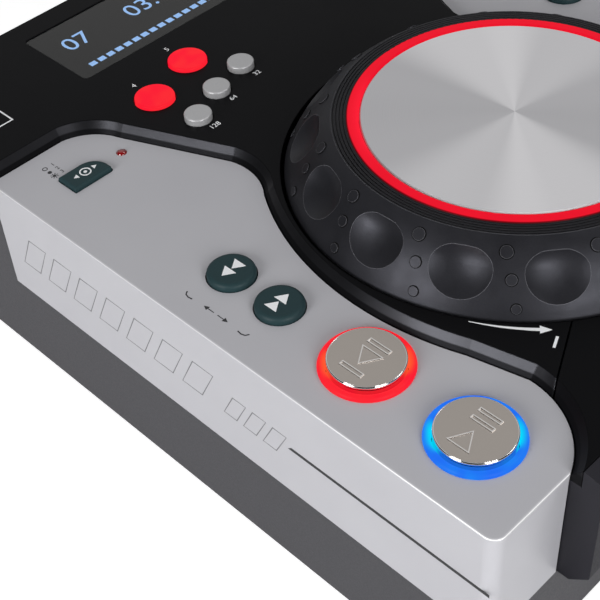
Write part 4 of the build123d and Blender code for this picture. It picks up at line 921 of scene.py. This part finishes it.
def finish_rule(tree, given, points, shape, **turning):
    """The end of each tree: the shape on every point, as real geometry with its material."""
    inputs = {"Points": points, "Instance": shape, **turning}
    copies = add_node(tree, "GeometryNodeInstanceOnPoints", inputs).outputs["Instances"]
    real = add_node(tree, "GeometryNodeRealizeInstances", {"Geometry": copies}).outputs["Geometry"]
    dressed = {"Geometry": real, "Material": given["Material"]}
    coloured = add_node(tree, "GeometryNodeSetMaterial", dressed)
    add_node(tree, "NodeGroupOutput", {0: coloured.outputs["Geometry"]})


def cell_rule():
    """Outlined parallelograms in a row."""
    measures = {
        "step": 10 * MM, "width": 5 * MM, "height": 10 * MM, "slant": 2 * MM, "line": 0.3 * MM,
    }
    tree, given, ids = new_rule("mark_row", 5, measures)
    box = "GeometryNodeCurvePrimitiveQuadrilateral"
    sizes = {"Width": given["Width"], "Height": given["Height"], "Offset": given["Slant"]}
    cell = add_node(tree, box, sizes, mode="PARALLELOGRAM")
    section = add_node(tree, box, {"Width": given["Line"], "Height": 2 * INK})
    finish_rule(tree, given, points_in_row(tree, given), swept(tree, cell, section))
    return tree, ids


def bar_rule():
    """Solid bars in a row."""
    tree, given, ids = new_rule("bar_row", 5, {"step": 5 * MM, "width": 1 * MM, "height": 2 * MM})
    size = vector_of(tree, X=given["Width"], Y=given["Height"], Z=2 * INK)
    bar = add_node(tree, "GeometryNodeMeshCube", {"Size": size}).outputs["Mesh"]
    finish_rule(tree, given, points_in_row(tree, given), bar)
    return tree, ids


def shadow_ring_rule():
    """Fine rings in a circle, each tilted with the flank that it lies on."""
    measures = {"radius": 2 * MM, "reach": 60 * MM, "rise": 100 * MM, "tilt": 0.6, "phase": 0.0}
    tree, given, ids = new_rule("shadow_ring_circle", 15, measures)
    ring_inputs = {"Resolution": 28, "Radius": given["Radius"]}
    ring = add_node(tree, "GeometryNodeCurvePrimitiveCircle", ring_inputs)
    section_inputs = {"Width": 0.34 * MM, "Height": 0.16 * MM}
    section = add_node(tree, "GeometryNodeCurvePrimitiveQuadrilateral", section_inputs)
    seat = {
        "Geometry": swept(tree, ring, section),
        "Translation": vector_of(tree, X=given["Reach"], Z=given["Rise"]),
        "Rotation": vector_of(tree, Y=given["Tilt"]),
    }
    collar = add_node(tree, "GeometryNodeTransform", seat).outputs["Geometry"]
    centre = {"Count": given["Count"], "Offset": (0, 0, 0)}
    points = add_node(tree, "GeometryNodeMeshLine", centre).outputs["Mesh"]
    index = tree.nodes.new("GeometryNodeInputIndex").outputs[0]
    step = calc(tree, "DIVIDE", 2 * pi, given["Count"])
    turn = calc(tree, "MULTIPLY_ADD", index, step, given["Phase"])
    finish_rule(tree, given, points, collar, Rotation=vector_of(tree, Z=turn))
    return tree, ids


def grown(name, rule, values, place, body):
    """Runs a geometry tree with these values and keeps its result as a plain mesh."""
    tree, ids = rule
    holder = bpy.data.objects.new(f"{name}_maker", bpy.data.meshes.new(f"{name}_maker"))
    bpy.context.scene.collection.objects.link(holder)
    modifier = holder.modifiers.new("rule", "NODES")
    modifier.node_group = tree
    for label, value in values.items():
        modifier[ids[label]] = value
    bpy.context.view_layer.update()
    graph = bpy.context.evaluated_depsgraph_get()
    data = bpy.data.meshes.new_from_object(holder.evaluated_get(graph))
    bpy.data.objects.remove(holder)
    data.name = name
    data.transform(place)
    return seated(name, data, body)


def side_cells(rule, side, name):
    """Two rows of fine slanted outlines on a side panel."""
    rows = {
        "large": {"count": 7, "step": 13.2 * MM, "width": 8.8 * MM, "height": 13.0 * MM},
        "small": {"count": 3, "step": 8.2 * MM, "width": 5.4 * MM, "height": 9.5 * MM},
    }
    # The middle of each row's rearmost cell: its place along the wall, and its height.
    rearmost = {"large": (54.0 * MM, 62.1 * MM), "small": (-41.0 * MM, 60.4 * MM)}
    for size, row in rows.items():
        start, level = rearmost[size]
        if side > 0:
            start -= (row["count"] - 1) * row["step"]
        values = {**row, "slant": row["height"] / 2, "line": 0.4 * MM, "material": line_ink}
        place = on_side(Vector((side * wall_x, start, level)), side)
        grown(f"side_cells_{size}_{name}", rule, values, place, "case")


def side_stripe(side, name):
    """A long dark stripe in front of the slanted outlines, with one slanted end."""
    start, end, slant, half = 62.8 * MM, 134.2 * MM, 1.4 * MM, 0.65 * MM
    if side < 0:
        outline = [(start, -half), (end, -half), (end, half), (start + slant, half)]
    else:
        outline = [(-end, -half), (-start - slant, -half), (-start, half), (-end, half)]
    mesh = bmesh.new()
    slab(mesh, outline, on_side(Vector((side * wall_x, 0, 61.5 * MM)), side))
    piece(f"side_stripe_{name}", mesh, dark_ink, "case")


def fader_scale(rule):
    """Ticks on both sides of the pitch fader's slot, with a zero, a plus and a minus."""
    centre = middle("pitch_knob")
    centre.z = panel_top
    travel, ticks = 40 * MM, 17
    tick_gap, zero_gap, sign_gap = (Vector((gap * MM, 0, 0)) for gap in (9.6, 11.4, 14.6))
    far_end = Vector((0, travel, 0))
    values = {
        "count": ticks, "step": 2 * travel / (ticks - 1), "width": 0.3 * MM, "height": 2.0 * MM,
        "material": dark_ink,
    }
    for side, name in ((-1, "left"), (1, "right")):
        corner = on_top(centre + side * tick_gap - far_end, pi / 2)
        grown(f"fader_ticks_{name}", rule, values, corner, "case")
    mesh = bmesh.new()
    for side in (-1, 1):
        zero_line = bar_across(-0.8 * MM, 0.8 * MM, 0.5 * MM)
        slab(mesh, zero_line, on_top(centre + side * zero_gap), 1.5 * INK)
    sign_bars(mesh, 1.2 * MM, 0.5 * MM, on_top(centre + sign_gap + far_end), plus=False)
    sign_bars(mesh, 1.2 * MM, 0.5 * MM, on_top(centre + sign_gap - far_end), plus=True)
    piece("fader_signs", mesh, dark_ink, "case")
    numeral("0", 2.4 * MM, on_top(centre + sign_gap), "fader_zero", dark_ink, "case")


def display_picture(rule):
    """What the display shows: plain numerals for track, time, tempo and pitch, and a row of bars."""
    screen = top_of("display_module")
    lines = [
        ("track", "07", (-47, 5), 8.0),
        ("time", "03:45:20", (-4, 5), 8.0),
        ("tempo", "128.0", (44, 7), 5.0),
        ("pitch", "+0.5", (44, -1), 3.5),
    ]
    for name, text, (x, y), height in lines:
        place = on_top(screen + Vector((x * MM, y * MM, 0)))
        numeral(text, height * MM, place, f"display_{name}", display_ink, "case")
    values = {
        "count": 27, "step": 4.0 * MM, "width": 2.8 * MM, "height": 2.4 * MM, "material": display_ink,
    }
    first_bar = on_top(screen + Vector((-52 * MM, -10.5 * MM, 0)))
    grown("display_bars", rule, values, first_bar, "case")


def stud_shadow_rings(rule):
    """A thin near-black ring round each of the jog wheel's studs, a painted shadow, in three rings of
    fifteen.
    """
    centre_out = shoulder_radius - flank_radius * sin(flank_tilt)
    centre_up = ring_high.z - flank_radius * cos(flank_tilt)
    clearance = 0.1 * MM
    rows = (
        {"inset": 11.5 * MM, "stud_radius": 1.85 * MM, "phase": radians(24.1)},
        {"inset": 6.25 * MM, "stud_radius": 1.6 * MM, "phase": radians(25.7)},
        {"inset": 1.75 * MM, "stud_radius": 1.4 * MM, "phase": radians(27.1)},
    )
    for k, row in enumerate(rows):
        reach = jog_edge - row["inset"]
        tilt = asin((reach - centre_out) / flank_radius)
        values = {
            "count": 15, "radius": row["stud_radius"] + clearance, "reach": reach,
            "rise": centre_up + flank_radius * cos(tilt), "tilt": tilt,
            "phase": row["phase"], "material": stud_shadow_black,
        }
        grown(f"stud_collars_{k + 1}", rule, values, Matrix.Translation(jog_axis), "jog_wheel")


cells = cell_rule()
bars = bar_rule()
stud_shadow_rings(shadow_ring_rule())
for side, name in ((-1, "left"), (1, "right")):
    side_cells(cells, side, name)
    side_stripe(side, name)
fader_scale(bars)
display_picture(bars)

# ---------------------------------------------------------------- camera, lights and stage

LAMP_TARGET = Vector((0, -0.03, 0.07))
LAMPS = (
    {"name": "left", "place": (-1.22, 0.0, 0.5), "size": (0.46, 0.6), "watts": 11.1},
    {"name": "front", "place": (-0.358, -1.22, 0.55), "size": (0.55, 0.6), "watts": 11.0},
    {"name": "right", "place": (0.85, -0.77, 1.2), "size": (0.45, 0.45), "watts": 3.4},
)


def corner_camera():
    """The camera: long lens, in front of the left corner and above."""
    place = Vector((-0.26531, -0.23763, 0.34503))
    right = Vector((0.70169, -0.71043, -0.05414))
    up = Vector((0.52663, 0.46597, 0.71101))
    data = bpy.data.cameras.new("camera")
    data.lens = 78.09
    data.sensor_width = 36.0
    data.clip_start = 0.01
    camera = bpy.data.objects.new("camera", data)
    turned = Matrix((right, up, right.cross(up))).transposed().to_4x4()
    camera.matrix_world = Matrix.Translation(place) @ turned
    bpy.context.scene.collection.objects.link(camera)
    bpy.context.scene.camera = camera


def soft_lamp(name, place, size, watts):
    """A large soft box aimed at the player."""
    data = bpy.data.lights.new(name, "AREA")
    data.shape = "RECTANGLE"
    data.size, data.size_y = size
    data.energy = watts
    lamp = bpy.data.objects.new(name, data)
    lamp.location = place
    lamp.rotation_mode = "QUATERNION"
    lamp.rotation_quaternion = (LAMP_TARGET - Vector(place)).to_track_quat("-Z", "Y")
    bpy.context.scene.collection.objects.link(lamp)


def studio_world():
    """White where it is seen. Mirrors see one broad pale panel above and behind the player, else dark."""
    panel_direction = (0.45, 0.5, 0.74)
    panel_rim, panel_core = 0.45, 0.85
    dark_level, panel_level, plain_level = 0.02, 0.6, 0.2
    world = bpy.data.worlds.new("studio")
    world.use_nodes = True
    tree = world.node_tree
    back = tree.nodes["Background"]
    feed(tree, back.inputs["Color"], WHITE)
    towards = vector_calc(tree, "DOT_PRODUCT", coordinates(tree, "Generated"), panel_direction)
    panel = spread(tree, towards, panel_rim, panel_core, dark_level, panel_level)
    rays = tree.nodes.new("ShaderNodeLightPath").outputs
    seen = calc(tree, "MAXIMUM", rays["Is Camera Ray"], rays["Is Transmission Ray"])
    mirrored = calc(tree, "MULTIPLY", panel, rays["Is Glossy Ray"])
    either = calc(tree, "MAXIMUM", seen, rays["Is Glossy Ray"])
    plain = calc(tree, "MULTIPLY", calc(tree, "SUBTRACT", 1.0, either), plain_level)
    feed(tree, back.inputs["Strength"], calc(tree, "ADD", calc(tree, "ADD", seen, mirrored), plain))
    bpy.context.scene.world = world


def pale_floor():
    """A white floor that keeps the shadow, just under the feet."""
    half_size, drop = 0.55, 0.2 * MM
    mesh = bmesh.new()
    bmesh.ops.create_grid(mesh, x_segments=1, y_segments=1, size=half_size)
    bmesh.ops.translate(mesh, verts=mesh.verts, vec=(0, 0, -drop))
    data = bpy.data.meshes.new("floor")
    mesh.to_mesh(data)
    mesh.free()
    material, tree, shader = new_material("floor_white", (0.86, 0.86, 0.86), 0.8, 0.0, 0.1)
    tint(tree, shader, grain(tree, 400 * MM, 2.0), (0.85, 0.85, 0.855), (0.88, 0.88, 0.88))
    feed(tree, shader.inputs["Emission Color"], WHITE)
    seen = tree.nodes.new("ShaderNodeLightPath").outputs["Is Camera Ray"]
    feed(tree, shader.inputs["Emission Strength"], calc(tree, "MULTIPLY", seen, 0.6))
    data.materials.append(material)
    floor = bpy.data.objects.new("floor", data)
    bpy.context.scene.collection.objects.link(floor)


corner_camera()
for lamp in LAMPS:
    soft_lamp(**lamp)
studio_world()
pale_floor()
bpy.context.scene.view_settings.view_transform = "Standard"
